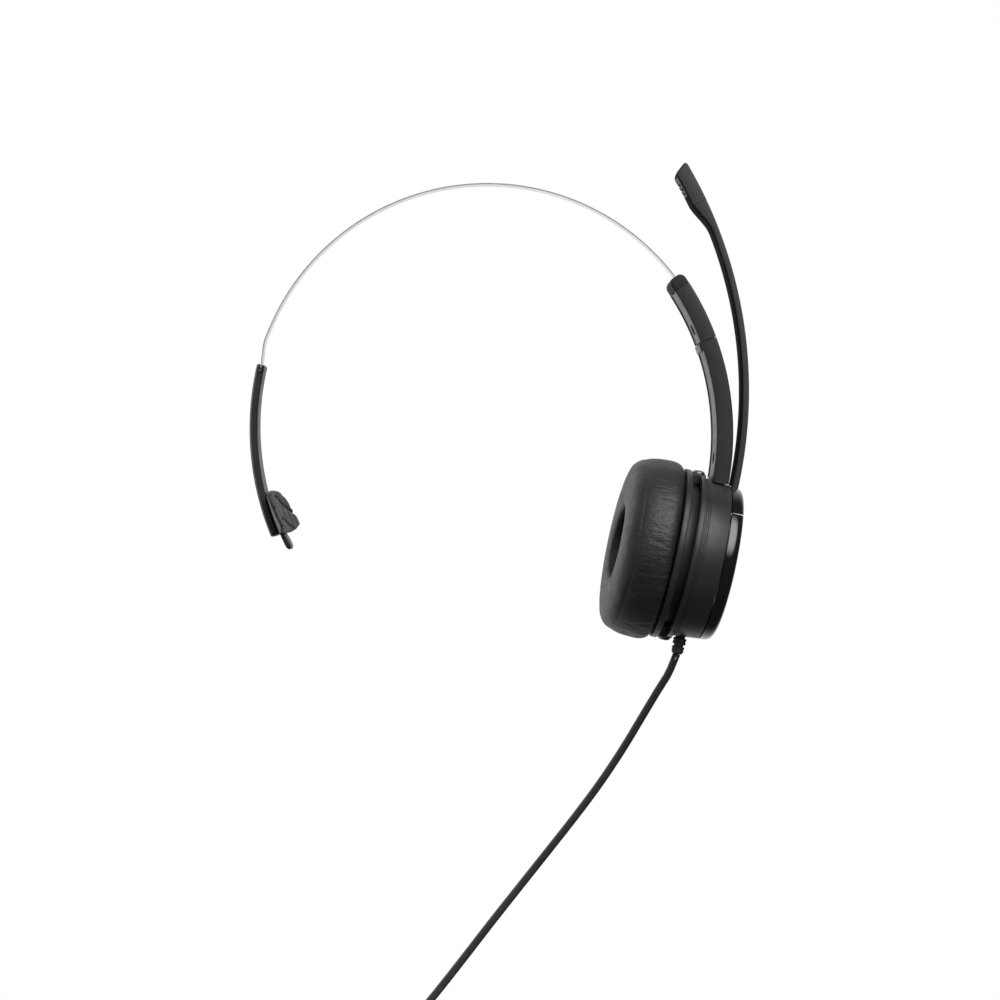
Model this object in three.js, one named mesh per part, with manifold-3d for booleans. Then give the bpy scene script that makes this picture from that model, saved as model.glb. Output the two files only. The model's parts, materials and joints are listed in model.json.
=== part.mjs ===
// Mono USB office headset: one ear cup, a sprung steel band with a temple pad, a rotating
// microphone boom and a coiled USB cord. Millimetres, +Z up, +X towards the ear cup, and the
// origin at the centre of the band's arc, where a head carries it.
import * as THREE from 'three';
import { mergeVertices } from 'three/addons/utils/BufferGeometryUtils.js';
import Module from 'manifold-3d';

const wasm = await Module();
wasm.setup();

const RADIANS = Math.PI / 180;
const FULL_TURN = 2 * Math.PI;

// ---- fits -------------------------------------------------------------------------------
const gap = 0.3; // between pieces that touch or are fixed together
const runningGap = 0.8; // between pieces that turn past each other

// ---- headband strip ---------------------------------------------------------------------
const bandRadius = 84.6;
const stripWidth = 5;
const stripThickness = 0.5;
const stripCupAngle = 38; // where the strip enters the sleeve cap, measured round the band
const stripCupDepth = 9; // degrees of strip hidden in the sleeve
const stripTempleAngle = 161; // where the strip leaves its arc towards the temple arm
const templeSeatAngle = 167.2; // where that arc, carried on, would pass the temple arm's seat

// ---- telescoping arm on the ear cup side --------------------------------------------------
const armRadius = 99; // outer face of the arm and sleeve
const armThickness = 6;
const armWidth = 17;
const armWall = 1.3;
const coverThickness = 1.4;
const armFootAngle = -11.3;
const armTopAngle = 20;
const sleeveTopAngle = 32.6;
const capTopAngle = 35.4;
const stripEntryAngle = 36.2; // where the strip's line meets the arm's arc, just above the cap
const partingAngle = 0.4; // the line between arm and sleeve, and between sleeve and cap
const tongueThickness = 1.2;
const tongueWidth = 10;
const tongueFootAngle = -3;
const tongueTopAngle = 30.5;
const screwRadius = 1;
const screwHeadRadius = 2;
const screwHeadDepth = 0.9;
const armScrewAngle = -5.4;
const sleeveScrewAngle = 23.6;

// ---- ear cup: stations are distances outwards along the cup's axis ------------------------
const cupTilt = 12; // the axis leans this far below level
const drumRadius = 28.9;
const drumTaper = 0.8; // the drum narrows by this much towards the boom cap
const drumDepth = 11.2;
const drumWall = 1.8;
const flangeProud = 0.8;
const flangeDepth = 1.9;
const swivelGroove = 3.3; // open groove between the drum and the speaker pod
const hubRadius = 5.8;
const capDepth = 4.6;
const capTaper = 2.5;
const capWall = 1.5;
const podProud = 1.9; // the pod's rim stands this far outside the drum
const podRimDepth = 2.3;
const podNeckDepth = 7.5;
const podWall = 1.5;
const cushionProud = 2.4; // the cushion bulges this far outside the pod's rim
const cushionDepth = 18.4;
const earHoleRadius = 13.25;
const driverRadius = 19;
const magnetRadius = 10;
const pinRadius = 1.2;
const lugWidth = 6;

// ---- boom -------------------------------------------------------------------------------
const boomRadius = 158.4; // middle of the boom's thickness
const boomThickness = 2.6;
const boomWidth = 9;
const boomFootAngle = -13;
const boomSpan = 35.6;
const boomFootDepth = 9.8; // height of the dark foot block that the boom grows from
const boomSet = 1.3; // the boom's middle stands this far outwards of the cap's inner edge
const micSpan = 7.9;
const micThickness = 5.4;
const micTipSlant = 0.8;
const micWall = 1.2;
const capsuleRadius = 2;

// ---- temple arm and pad -----------------------------------------------------------------
const templeRadius = 99.4; // outer face of the temple arm
const templeThickness = 2.9;
const templeTopAngle = 167.9;
const templeFootAngle = 203.3;
const templeTopWidth = 8;
const templeFootWidth = 13.5;
const templeSlotAngle = 9; // degrees of the arm that the strip is held in
const prongAngle = 1.2; // the arm's two prongs reach this far up past the strip's seat
const bandPinAngle = 0.2; // the pins stand this far below the seat
const padMiddleAngle = 198.8;
const padHalfLength = 24;
const padHalfHeight = 8.2;
const padCurl = 80; // radius that the pad curls to, round the head
const padThickness = 1.5;
const carrierThickness = 1;
const spineThickness = 1.2; // the carrier's spine runs down behind the pad to a rounded end
const spineWidth = 10;
const spineFootAngle = 207.2;
const bandPinRadius = 0.75;

// ---- cord -------------------------------------------------------------------------------
const cordDiameter = 2.8;
const reliefRadius = 2.4;
const reliefLength = 6.1; // how far the relief stands out of the drum
const reliefStation = 5.7;
const floorHeight = -226;
const coilX = -50;
const coilY = -30;
const coilRadius = 15.4; // middle of the turns
const coilColumns = 4;
const tieThickness = 0.8;
const tieWidth = 8;
const plugLength = 26;
const plugWidth = 15;
const plugHeight = 8;
const shellLength = 12;
const shellWidth = 12;
const shellHeight = 4.5;
const plugX = -26;

// ---- solids -----------------------------------------------------------------------------
function toSolid(geometry) {
  const bare = geometry.index ? geometry.toNonIndexed() : geometry.clone();
  bare.deleteAttribute('normal');
  bare.deleteAttribute('uv');
  const merged = mergeVertices(bare, 1e-4);
  const corners = merged.index.array;
  const kept = [];
  for (let i = 0; i < corners.length; i += 3) {
    const [a, b, c] = [corners[i], corners[i + 1], corners[i + 2]];
    if (a !== b && b !== c && c !== a) {
      kept.push(a, b, c);
    }
  }
  return new wasm.Manifold(new wasm.Mesh({
    numProp: 3,
    vertProperties: new Float32Array(merged.attributes.position.array),
    triVerts: new Uint32Array(kept),
  }));
}

function toGeometry(solid) {
  const mesh = solid.getMesh();
  const geometry = new THREE.BufferGeometry();
  geometry.setAttribute('position', new THREE.BufferAttribute(mesh.vertProperties, 3));
  geometry.setIndex(new THREE.BufferAttribute(mesh.triVerts, 1));
  const flat = geometry.toNonIndexed();
  flat.computeVertexNormals();
  return flat;
}

function cut(geometry, ...tools) {
  let solid = toSolid(geometry);
  for (const tool of tools) {
    solid = solid.subtract(toSolid(tool));
  }
  return toGeometry(solid);
}

function join(geometry, ...others) {
  let solid = toSolid(geometry);
  for (const other of others) {
    solid = solid.add(toSolid(other));
  }
  return toGeometry(solid);
}

function common(geometry, other) {
  return toGeometry(toSolid(geometry).intersect(toSolid(other)));
}

// A closed outline of [radius, station] pairs turned round the cup's axis (local Y).
function turned(outline, sides = 36) {
  const points = outline.map(([radius, station]) => new THREE.Vector2(radius, station));
  if (THREE.ShapeUtils.area(points) < 0) {
    points.reverse();
  }
  const first = points[0];
  const last = points[points.length - 1];
  if (first.x > 0 || last.x > 0) {
    points.push(first.clone());
  }
  return new THREE.LatheGeometry(points, sides);
}

// A disc or ring between two stations.
function ring(inner, outer, from, to, sides = 36) {
  if (inner === 0) {
    return turned([[0, from], [outer, from], [outer, to], [0, to]], sides);
  }
  return turned([[inner, from], [outer, from], [outer, to], [inner, to]], sides);
}

// A block given by its middle and its full size.
function block(x, y, z, sizeX, sizeY, sizeZ) {
  return new THREE.BoxGeometry(sizeX, sizeY, sizeZ).translate(x, y, z);
}

// Stands an outline drawn in X and Z up, and centres its width on Y = 0.
function standing(shape, width, steps = 6) {
  const options = { depth: width, bevelEnabled: false, curveSegments: steps };
  return new THREE.ExtrudeGeometry(shape, options).rotateX(90 * RADIANS).translate(0, width / 2, 0);
}

// A bar bent round a centre, between two radii and two angles in degrees.
function bentBar(centre, inner, outer, from, to, width, steps = 6) {
  const shape = new THREE.Shape();
  shape.absarc(centre.x, centre.z, outer, from * RADIANS, to * RADIANS, false);
  shape.absarc(centre.x, centre.z, inner, to * RADIANS, from * RADIANS, true);
  shape.closePath();
  return standing(shape, width, steps);
}

// The point at a radius and an angle round a centre, in the X-Z plane.
function pointAt(centre, radius, angle) {
  const turn = angle * RADIANS;
  return { x: centre.x + radius * Math.cos(turn), z: centre.z + radius * Math.sin(turn) };
}

// The centre of an arc that passes through a point at a given radius and angle.
function centreFrom(point, radius, angle) {
  return pointAt(point, -radius, angle);
}

// A round pin that points away from a centre, between two radii, at an angle.
function radialPin(centre, angle, from, to, radius, sides = 12) {
  const pin = new THREE.CylinderGeometry(radius, radius, to - from, sides);
  pin.rotateZ(-90 * RADIANS).translate((from + to) / 2, 0, 0);
  pin.rotateY(-angle * RADIANS);
  return pin.translate(centre.x, 0, centre.z);
}

// ---- places worked out from the sizes above -----------------------------------------------
const bandCentre = { x: 0, z: 0 };
const cavityRadius = armRadius - armWall; // inside of the arm's outer wall
const stripInSleeveRadius = cavityRadius - gap - stripThickness - 0.1;
const stripEntry = pointAt(bandCentre, bandRadius, stripCupAngle);
const armCentre = centreFrom(stripEntry, stripInSleeveRadius, stripEntryAngle);
const armInner = armRadius - armThickness;
const armMiddle = armRadius - armThickness / 2;
const coverTop = armInner + coverThickness;
const tongueInner = coverTop + 2 * gap;
const tongueOuter = tongueInner + tongueThickness;

const outwards = { x: Math.cos(cupTilt * RADIANS), z: -Math.sin(cupTilt * RADIANS) };
const upwards = { x: Math.sin(cupTilt * RADIANS), z: Math.cos(cupTilt * RADIANS) };
const drumStart = gap;
const drumEnd = drumStart + drumDepth;
const endWall = drumEnd - drumWall;
const capStart = drumEnd + gap;
const capEnd = capStart + capDepth;
const armFootStation = drumEnd - armThickness / 2 - 1.2;
const armFootRise = drumRadius - drumTaper - 1.1;
const armFoot = pointAt(armCentre, armMiddle, armFootAngle);
const cup = {
  x: armFoot.x - armFootStation * outwards.x - armFootRise * upwards.x,
  z: armFoot.z - armFootStation * outwards.z - armFootRise * upwards.z,
};

// A point of the cup's own frame in X and Z: up from its axis, and out along it.
function cupPoint(rise, station) {
  return {
    x: cup.x + rise * upwards.x + station * outwards.x,
    z: cup.z + rise * upwards.z + station * outwards.z,
  };
}

const podBack = drumStart - swivelGroove;
const podFront = podBack - podRimDepth;
const podRadius = drumRadius + podProud;
const podNeckRadius = drumRadius - drumWall - 2 * runningGap - 0.3;
const podNeckEnd = podBack + podNeckDepth;
const podBore = podNeckRadius - podWall;

const group = new THREE.Group();
const cupFrame = new THREE.Group();
const cupTurn = new THREE.Matrix4().makeBasis(
  new THREE.Vector3(upwards.x, 0, upwards.z),
  new THREE.Vector3(outwards.x, 0, outwards.z),
  new THREE.Vector3(0, 1, 0),
);
cupFrame.quaternion.setFromRotationMatrix(cupTurn);
cupFrame.position.set(cup.x, 0, cup.z);
group.add(cupFrame);

const finishes = {
  satinBlack: { color: 0x2c2d30, roughness: 0.5, metalness: 0 },
  glossBlack: { color: 0x151618, roughness: 0.15, metalness: 0 },
  steel: { color: 0xb4b6b8, roughness: 0.3, metalness: 1 },
  rubber: { color: 0x3a3a3c, roughness: 0.8, metalness: 0 },
  leatherette: { color: 0x1d1d1f, roughness: 0.45, metalness: 0 },
  cloth: { color: 0x161617, roughness: 0.95, metalness: 0 },
  board: { color: 0x20603a, roughness: 0.6, metalness: 0 },
  vinyl: { color: 0x202124, roughness: 0.35, metalness: 0 },
};

function add(parent, name, geometry, finish) {
  const mesh = new THREE.Mesh(geometry, new THREE.MeshStandardMaterial(finishes[finish]));
  mesh.name = name;
  parent.add(mesh);
}

// ---- band strip: spring steel, held in the sleeve at one end and the temple arm at the other
const templeMiddle = templeRadius - templeThickness / 2;
const stripTempleEnd = pointAt(bandCentre, bandRadius, templeSeatAngle);
const templeSeat = { x: stripTempleEnd.x + 1.1, z: stripTempleEnd.z - 1.1 };
const templeCentre = centreFrom(templeSeat, templeMiddle, templeTopAngle);

function ribbon(points, thickness, width) {
  const curve = new THREE.CatmullRomCurve3(points.map((p) => new THREE.Vector3(p.x, p.z, 0)));
  const steps = 44;
  const outer = [];
  const inner = [];
  for (let i = 0; i <= steps; i += 1) {
    const place = curve.getPointAt(i / steps);
    const along = curve.getTangentAt(i / steps);
    const half = thickness / 2;
    outer.push(new THREE.Vector2(place.x + along.y * half, place.y - along.x * half));
    inner.push(new THREE.Vector2(place.x - along.y * half, place.y + along.x * half));
  }
  return standing(new THREE.Shape([...outer, ...inner.reverse()]), width);
}

const stripRoute = [];
const stripStep = 4;
for (let angle = stripCupAngle - stripCupDepth; angle <= stripTempleAngle; angle += stripStep) {
  stripRoute.push(pointAt(bandCentre, bandRadius, angle));
}
const stripSeatSteps = 3;
for (let i = 0; i <= stripSeatSteps; i += 1) {
  const angle = templeTopAngle - 0.9 + (i * (templeSlotAngle - 0.1)) / stripSeatSteps;
  stripRoute.push(pointAt(templeCentre, templeMiddle, angle));
}
add(group, 'band_strip', ribbon(stripRoute, stripThickness, stripWidth), 'steel');

// ---- telescoping arm: a channel on the drum, closed by a cover on the head's side ----------
const channelWidth = armWidth - 2 * armWall;
const coverWidth = channelWidth - 2 * gap;
const coverEndAngle = 1.7; // solid stretch of the arm below its cover
const past = 1; // cutters run this far past the face that they open
const bossRadius = screwHeadRadius + 0.5;
const drumSeat = ring(0, drumRadius + gap, -20, drumEnd + past, 64);
drumSeat.applyMatrix4(new THREE.Matrix4().makeTranslation(cup.x, 0, cup.z).multiply(cupTurn));

function screwHoles(angle) {
  return [
    radialPin(armCentre, angle, armInner - past, armInner + screwHeadDepth + 0.3, screwHeadRadius + 0.2),
    radialPin(armCentre, angle, armInner - past, cavityRadius - 0.1, screwRadius + gap),
  ];
}

function screw(angle) {
  const headFoot = armInner + 0.2;
  const headTop = headFoot + screwHeadDepth;
  const head = radialPin(armCentre, angle, headFoot, headTop, screwHeadRadius - 0.1);
  return join(head, radialPin(armCentre, angle, headTop - 0.1, cavityRadius - gap - 0.1, screwRadius));
}

function channel(from, to, pocketFrom, pocketTo, screwAngle, bossFoot) {
  const body = bentBar(armCentre, armInner, armRadius, from, to, armWidth);
  const pocket = bentBar(armCentre, armInner - past, cavityRadius, pocketFrom, pocketTo, channelWidth);
  const boss = radialPin(armCentre, screwAngle, bossFoot, cavityRadius + 0.2, bossRadius);
  return cut(join(cut(body, pocket), boss), ...screwHoles(screwAngle));
}

const armBossFoot = coverTop + gap;
const armShell = channel(
  armFootAngle - 3, armTopAngle, armFootAngle + coverEndAngle, armTopAngle + past,
  armScrewAngle, armBossFoot,
);
add(group, 'arm_outer_shell', cut(armShell, drumSeat), 'satinBlack');

const coverFoot = armFootAngle + coverEndAngle + 0.2;
const armCover = bentBar(armCentre, armInner, coverTop, coverFoot, armTopAngle - 0.2, coverWidth);
const guideTab = bentBar(armCentre, armInner - 0.8, armInner + 0.2, armTopAngle - 1.8, armTopAngle - 0.2, 8, 2);
add(group, 'arm_inner_cover', cut(join(armCover, guideTab), ...screwHoles(armScrewAngle)), 'satinBlack');
add(group, 'arm_screw', screw(armScrewAngle), 'steel');

const detentOuter = cavityRadius - gap;
const detent = bentBar(armCentre, detentOuter - 0.4, detentOuter, armTopAngle - 12, armTopAngle - 4, 6, 2);
add(group, 'detent_spring', detent, 'steel');

// ---- sleeve: the same channel, carried by the band, with the tongue that slides in the arm --
const sleeveFoot = armTopAngle + partingAngle;
const sleeveBossFoot = tongueOuter + gap;
const sleeveShell = channel(
  sleeveFoot, sleeveTopAngle, sleeveFoot - past, sleeveTopAngle + past,
  sleeveScrewAngle, sleeveBossFoot,
);
add(group, 'sleeve_shell', sleeveShell, 'satinBlack');

const sleeveCover = bentBar(armCentre, armInner, coverTop, sleeveFoot + 0.2, sleeveTopAngle - 0.2, coverWidth, 3);
add(group, 'sleeve_cover', cut(sleeveCover, ...screwHoles(sleeveScrewAngle)), 'satinBlack');
add(group, 'sleeve_screw', screw(sleeveScrewAngle), 'steel');

const tongue = bentBar(armCentre, tongueInner, tongueOuter, tongueFootAngle, tongueTopAngle, tongueWidth);
const tongueHole = radialPin(armCentre, sleeveScrewAngle, armInner, armRadius, screwRadius + gap);
add(group, 'slider_tongue', cut(tongue, tongueHole), 'satinBlack');

const capShape = new THREE.Shape();
const capFoot = sleeveTopAngle + partingAngle;
const capShoulder = capTopAngle - 1.3;
const capCorners = [
  pointAt(armCentre, armInner, capFoot),
  pointAt(armCentre, armRadius, capFoot),
  pointAt(armCentre, armRadius, capShoulder),
  pointAt(armCentre, armRadius - 0.9, capTopAngle - 0.4),
  pointAt(armCentre, armMiddle + 0.9, capTopAngle),
  pointAt(armCentre, armMiddle - 0.9, capTopAngle),
  pointAt(armCentre, armInner + 0.9, capTopAngle - 0.4),
  pointAt(armCentre, armInner, capShoulder),
];
capShape.setFromPoints(capCorners.map((p) => new THREE.Vector2(p.x, p.z)));
const slotThickness = stripThickness + 2 * gap + 0.2;
const capSlot = bentBar(
  bandCentre, bandRadius - slotThickness / 2, bandRadius + slotThickness / 2,
  stripCupAngle - stripCupDepth, stripCupAngle + 4, stripWidth + 2 * gap, 3,
);
add(group, 'sleeve_cap', cut(standing(capShape, armWidth), capSlot), 'satinBlack');

// ---- temple arm: widens from the strip's slot down to the pad ------------------------------
const templeInner = templeRadius - templeThickness;

function templeWidth(angle) {
  const share = (angle - templeTopAngle) / (templeFootAngle - templeTopAngle);
  return templeTopWidth + (templeFootWidth - templeTopWidth) * share ** 2;
}

function flared(geometry) {
  const places = geometry.attributes.position;
  for (let i = 0; i < places.count; i += 1) {
    const dx = places.getX(i) - templeCentre.x;
    const dz = places.getZ(i) - templeCentre.z;
    const angle = (Math.atan2(dz, dx) / RADIANS + 360) % 360;
    places.setY(i, Math.sign(places.getY(i)) * 0.5 * templeWidth(angle));
  }
  return geometry;
}

const templeBar = flared(bentBar(
  templeCentre, templeInner, templeRadius, templeTopAngle - prongAngle, templeFootAngle, templeFootWidth, 7,
));
const slotEnd = templeTopAngle + templeSlotAngle;
const templeSlot = bentBar(
  templeCentre, templeMiddle - slotThickness / 2, templeMiddle + slotThickness / 2,
  templeTopAngle - prongAngle - past, slotEnd, stripWidth + 2 * gap, 4,
);
const bandPinPlace = pointAt(templeCentre, templeMiddle, templeTopAngle + bandPinAngle);
const bandPinFoot = stripWidth / 2 + gap;

function crossPin(radius, from, to) {
  const pin = new THREE.CylinderGeometry(radius, radius, to - from, 12);
  return pin.translate(bandPinPlace.x, (from + to) / 2, bandPinPlace.z);
}

const pinHoleFront = crossPin(bandPinRadius + gap, -templeTopWidth, -bandPinFoot + 0.1);
const pinHoleBack = crossPin(bandPinRadius + gap, bandPinFoot - 0.1, templeTopWidth);
add(group, 'temple_arm', cut(templeBar, templeSlot, pinHoleFront, pinHoleBack), 'satinBlack');
add(group, 'band_pin_front', crossPin(bandPinRadius, -templeTopWidth / 2, -bandPinFoot), 'steel');
add(group, 'band_pin_back', crossPin(bandPinRadius, bandPinFoot, templeTopWidth / 2), 'steel');

// ---- temple pad: a rounded plate, bent round an upright axis, in two layers ----------------
const padSeat = pointAt(templeCentre, templeInner - gap, padMiddleAngle);
const padIn = pointAt({ x: 0, z: 0 }, -1, padMiddleAngle);
const padUp = { x: -padIn.z, z: padIn.x };

function curledPlate(halfLength, halfHeight, from, thickness) {
  const plate = new THREE.SphereGeometry(1, 20, 18);
  const places = plate.attributes.position;
  const half = thickness / 2;
  for (let i = 0; i < places.count; i += 1) {
    const along = places.getY(i) * halfLength;
    const rise = places.getZ(i) * halfHeight;
    const swell = Math.sign(places.getX(i)) * Math.sqrt(Math.abs(places.getX(i)));
    const curl = padCurl - Math.sqrt(padCurl ** 2 - along ** 2);
    const bulge = (rise * rise) / (2 * templeRadius);
    const depth = from + half + swell * half + curl + bulge;
    places.setXYZ(
      i,
      padSeat.x + padIn.x * depth + padUp.x * rise,
      along,
      padSeat.z + padIn.z * depth + padUp.z * rise,
    );
  }
  return plate;
}

const carrierMargin = 2;
const carrierPlate = curledPlate(
  padHalfLength - carrierMargin, padHalfHeight - carrierMargin, 0, carrierThickness,
);
const rubberPlate = curledPlate(padHalfLength, padHalfHeight, carrierThickness + gap, padThickness);
const spineOuter = templeInner - gap;
const spine = bentBar(
  templeCentre, spineOuter - spineThickness, spineOuter, padMiddleAngle - 4, spineFootAngle, spineWidth, 4,
);
add(group, 'pad_carrier', join(carrierPlate, spine), 'satinBlack');
add(group, 'pad_rubber', rubberPlate, 'rubber');

// ---- drum: fixed half of the ear cup, with two lugs that the speaker pod swings between -----
const drumBore = drumRadius - drumWall;
const hubBore = hubRadius + gap;
const drumProfile = [
  [hubBore, drumEnd],
  [drumRadius - drumTaper, drumEnd],
  [drumRadius, drumStart + flangeDepth],
  [drumRadius + flangeProud, drumStart + flangeDepth],
  [drumRadius + flangeProud, drumStart],
  [drumBore, drumStart],
  [drumBore - 0.4, endWall],
  [hubBore, endWall],
];
const lugInner = podNeckRadius + runningGap;
const lugOuter = drumRadius + 1;
const lugReach = podBack + runningGap;
const lugDepth = drumStart + flangeDepth + 0.3 - lugReach;
const lugRadial = lugOuter - lugInner;
const lugMiddle = (lugInner + lugOuter) / 2;

function lug(side) {
  return block(side * lugMiddle, lugReach + lugDepth / 2, 0, lugRadial, lugDepth, lugWidth);
}

// A pin along the pod's swivel axis (local X), on one side of the cup.
function swivelPin(side, radius, from, to) {
  const pin = new THREE.CylinderGeometry(radius, radius, to - from, 12).rotateZ(90 * RADIANS);
  return pin.translate((side * (from + to)) / 2, 0, 0);
}

const reliefNeck = reliefRadius - 0.5;
const reliefHole = new THREE.CylinderGeometry(reliefNeck + gap, reliefNeck + gap, 8, 16);
reliefHole.rotateZ(90 * RADIANS).translate(-drumRadius, reliefStation, 0);
const drumWithLugs = join(turned(drumProfile, 48), lug(1), lug(-1));
const drum = cut(
  drumWithLugs,
  swivelPin(1, pinRadius + gap, lugInner - past, lugOuter + past),
  swivelPin(-1, pinRadius + gap, lugInner - past, lugOuter + past),
  reliefHole,
);
add(cupFrame, 'drum_housing', drum, 'satinBlack');
const pinFoot = podBore + gap;
add(cupFrame, 'swivel_pin_top', swivelPin(1, pinRadius, pinFoot, lugOuter), 'steel');
add(cupFrame, 'swivel_pin_bottom', swivelPin(-1, pinRadius, pinFoot, lugOuter), 'steel');

// ---- boom hub and what holds it in the drum's end wall --------------------------------------
const washerThickness = 0.4;
const washerEnd = endWall - gap;
const retainerEnd = washerEnd - washerThickness - gap;
const retainerThickness = 0.7;
const retainerRadius = hubRadius + 2.6;
const hubFoot = retainerEnd + gap;
const hubScrewFoot = retainerEnd - retainerThickness - 1.5;
add(cupFrame, 'spring_washer', ring(hubBore, retainerRadius, washerEnd - washerThickness, washerEnd, 24), 'steel');
const retainerFoot = retainerEnd - retainerThickness;
add(cupFrame, 'hub_retainer', ring(screwRadius + gap, retainerRadius, retainerFoot, retainerEnd, 24), 'steel');
const hubScrewHead = retainerFoot - gap;
const hubScrewProfile = [
  [0, hubScrewFoot],
  [screwHeadRadius + 0.4, hubScrewFoot],
  [screwHeadRadius + 0.4, hubScrewHead],
  [screwRadius, hubScrewHead],
  [screwRadius, capStart],
  [0, capStart],
];
add(cupFrame, 'hub_screw', turned(hubScrewProfile, 12), 'steel');

// ---- audio board: a ring round the hub, with the codec chip facing the end wall -------------
const boardInner = retainerRadius + 1.5;
const boardOuter = drumBore - 3.5;
const boardTop = endWall - 1.6;
const boardThickness = 1;
add(cupFrame, 'audio_board', ring(boardInner, boardOuter, boardTop - boardThickness, boardTop, 24), 'board');
const chipSize = 7;
const chipMiddle = (boardInner + boardOuter) / 2;
add(cupFrame, 'codec_chip', block(0, boardTop + gap + 0.4, chipMiddle, chipSize, 0.8, chipSize), 'glossBlack');

// ---- speaker pod: shell with a rim, baffle, driver, screen and cushion ----------------------
const podProfile = [
  [0, podNeckEnd],
  [podNeckRadius, podNeckEnd],
  [podNeckRadius, podBack],
  [podRadius, podBack],
  [podRadius, podFront],
  [podBore, podFront],
  [podBore, podNeckEnd - podWall],
  [0, podNeckEnd - podWall],
];
const podShell = cut(
  turned(podProfile, 40),
  swivelPin(1, pinRadius + gap, podBore - past, podNeckRadius + past),
  swivelPin(-1, pinRadius + gap, podBore - past, podNeckRadius + past),
);
add(cupFrame, 'pod_shell', podShell, 'satinBlack');

const baffleThickness = 1.4;
const baffleEnd = podFront + baffleThickness;
const soundHoles = [];
const soundHoleCount = 6;
const soundHoleRadius = 2.4;
for (let i = 0; i < soundHoleCount; i += 1) {
  const turn = (i * FULL_TURN) / soundHoleCount;
  const hole = ring(0, soundHoleRadius, podFront - past, baffleEnd + past, 10);
  soundHoles.push(hole.translate(8 * Math.cos(turn), 0, 8 * Math.sin(turn)));
}
const baffle = cut(ring(0, podBore - gap, podFront, baffleEnd, 32), ...soundHoles);
add(cupFrame, 'speaker_baffle', baffle, 'satinBlack');

const driverFront = baffleEnd + gap;
const driverEnd = driverFront + 3.9;
const driverProfile = [
  [driverRadius - 1, driverFront],
  [driverRadius, driverFront],
  [driverRadius, driverFront + 1.5],
  [magnetRadius + 2, driverEnd],
  [magnetRadius + gap, driverEnd],
  [magnetRadius + gap, driverEnd - 1],
  [driverRadius - 1, driverFront + 1.2],
];
add(cupFrame, 'driver_frame', turned(driverProfile, 28), 'satinBlack');
add(cupFrame, 'driver_magnet', ring(0, magnetRadius, driverEnd - 2.2, podNeckEnd - podWall - gap, 24), 'steel');
const diaphragmRadius = driverRadius - 1 - gap;
add(cupFrame, 'driver_diaphragm', ring(0, diaphragmRadius, driverFront + 0.1, driverFront + 0.5, 24), 'cloth');

const cushionBack = podFront - gap;
const cushionFront = cushionBack - cushionDepth;
add(cupFrame, 'ear_screen', ring(0, earHoleRadius - gap, cushionBack - 2, cushionBack, 28), 'cloth');

const cushionOuter = podRadius + cushionProud;
const crownRadius = (earHoleRadius + cushionOuter) / 2 - 1.2;
const cushionProfile = [
  [earHoleRadius, cushionBack],
  [podRadius - 0.5, cushionBack],
  [cushionOuter - 1, cushionBack - 1.8],
  [cushionOuter, cushionBack - 5.4],
  [cushionOuter - 0.3, cushionBack - 9.5],
  [cushionOuter - 1.4, cushionFront + 4],
  [cushionOuter - 2.8, cushionFront + 2],
  [cushionOuter - 6.9, cushionFront + 0.3],
  [crownRadius, cushionFront],
  [earHoleRadius + 4, cushionFront + 0.9],
  [earHoleRadius + 0.8, cushionFront + 4],
  [earHoleRadius, cushionFront + 8],
];
add(cupFrame, 'ear_cushion', turned(cushionProfile, 40), 'leatherette');

// ---- boom: cap disc with its hub, dark foot block, bent arm and microphone head -------------
const capRim = drumRadius - drumTaper;
const capOuterProfile = [
  [capRim, capStart],
  [capRim - 0.4, capStart + 1.6],
  [capRim - 1.2, capEnd - 1],
  [capRim - capTaper, capEnd],
];
const capProfile = [
  [0, hubFoot],
  [hubRadius, hubFoot],
  [hubRadius, capEnd - capWall],
  [capRim - capTaper - capWall, capEnd - capWall],
  [capRim - capWall, capStart],
  ...capOuterProfile,
  [0, capEnd],
];
const footChord = capRim - boomFootDepth;
const large = 60;
const aboveChord = block(footChord + large / 2, capStart, 0, large, large, large);
const aboveChordWithGap = block(footChord - gap + large / 2, capStart, 0, large, large, large);
const hubScrewBore = ring(0, screwRadius + gap, hubFoot - past, capStart + gap, 12);
const boomCap = cut(turned(capProfile, 48), aboveChordWithGap, hubScrewBore);
add(cupFrame, 'boom_cap', boomCap, 'glossBlack');
const footProfile = [[0, capStart], ...capOuterProfile, [0, capEnd]];
add(cupFrame, 'boom_foot', common(turned(footProfile, 48), aboveChord), 'glossBlack');

const boomFootPoint = cupPoint(capRim - 1.3, capStart + boomSet);
const boomCentre = centreFrom(boomFootPoint, boomRadius, boomFootAngle);
const boomInner = boomRadius - boomThickness / 2;
const boomOuter = boomRadius + boomThickness / 2;
const boomTopAngle = boomFootAngle + boomSpan;
const footSeat = ring(0, capRim + gap, capStart - 8, capEnd + 8, 48);
footSeat.applyMatrix4(new THREE.Matrix4().makeTranslation(cup.x, 0, cup.z).multiply(cupTurn));
const boomBar = bentBar(boomCentre, boomInner, boomOuter, boomFootAngle - 1, boomTopAngle, boomWidth, 10);
add(group, 'boom_arm', cut(boomBar, footSeat), 'satinBlack');

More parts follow.
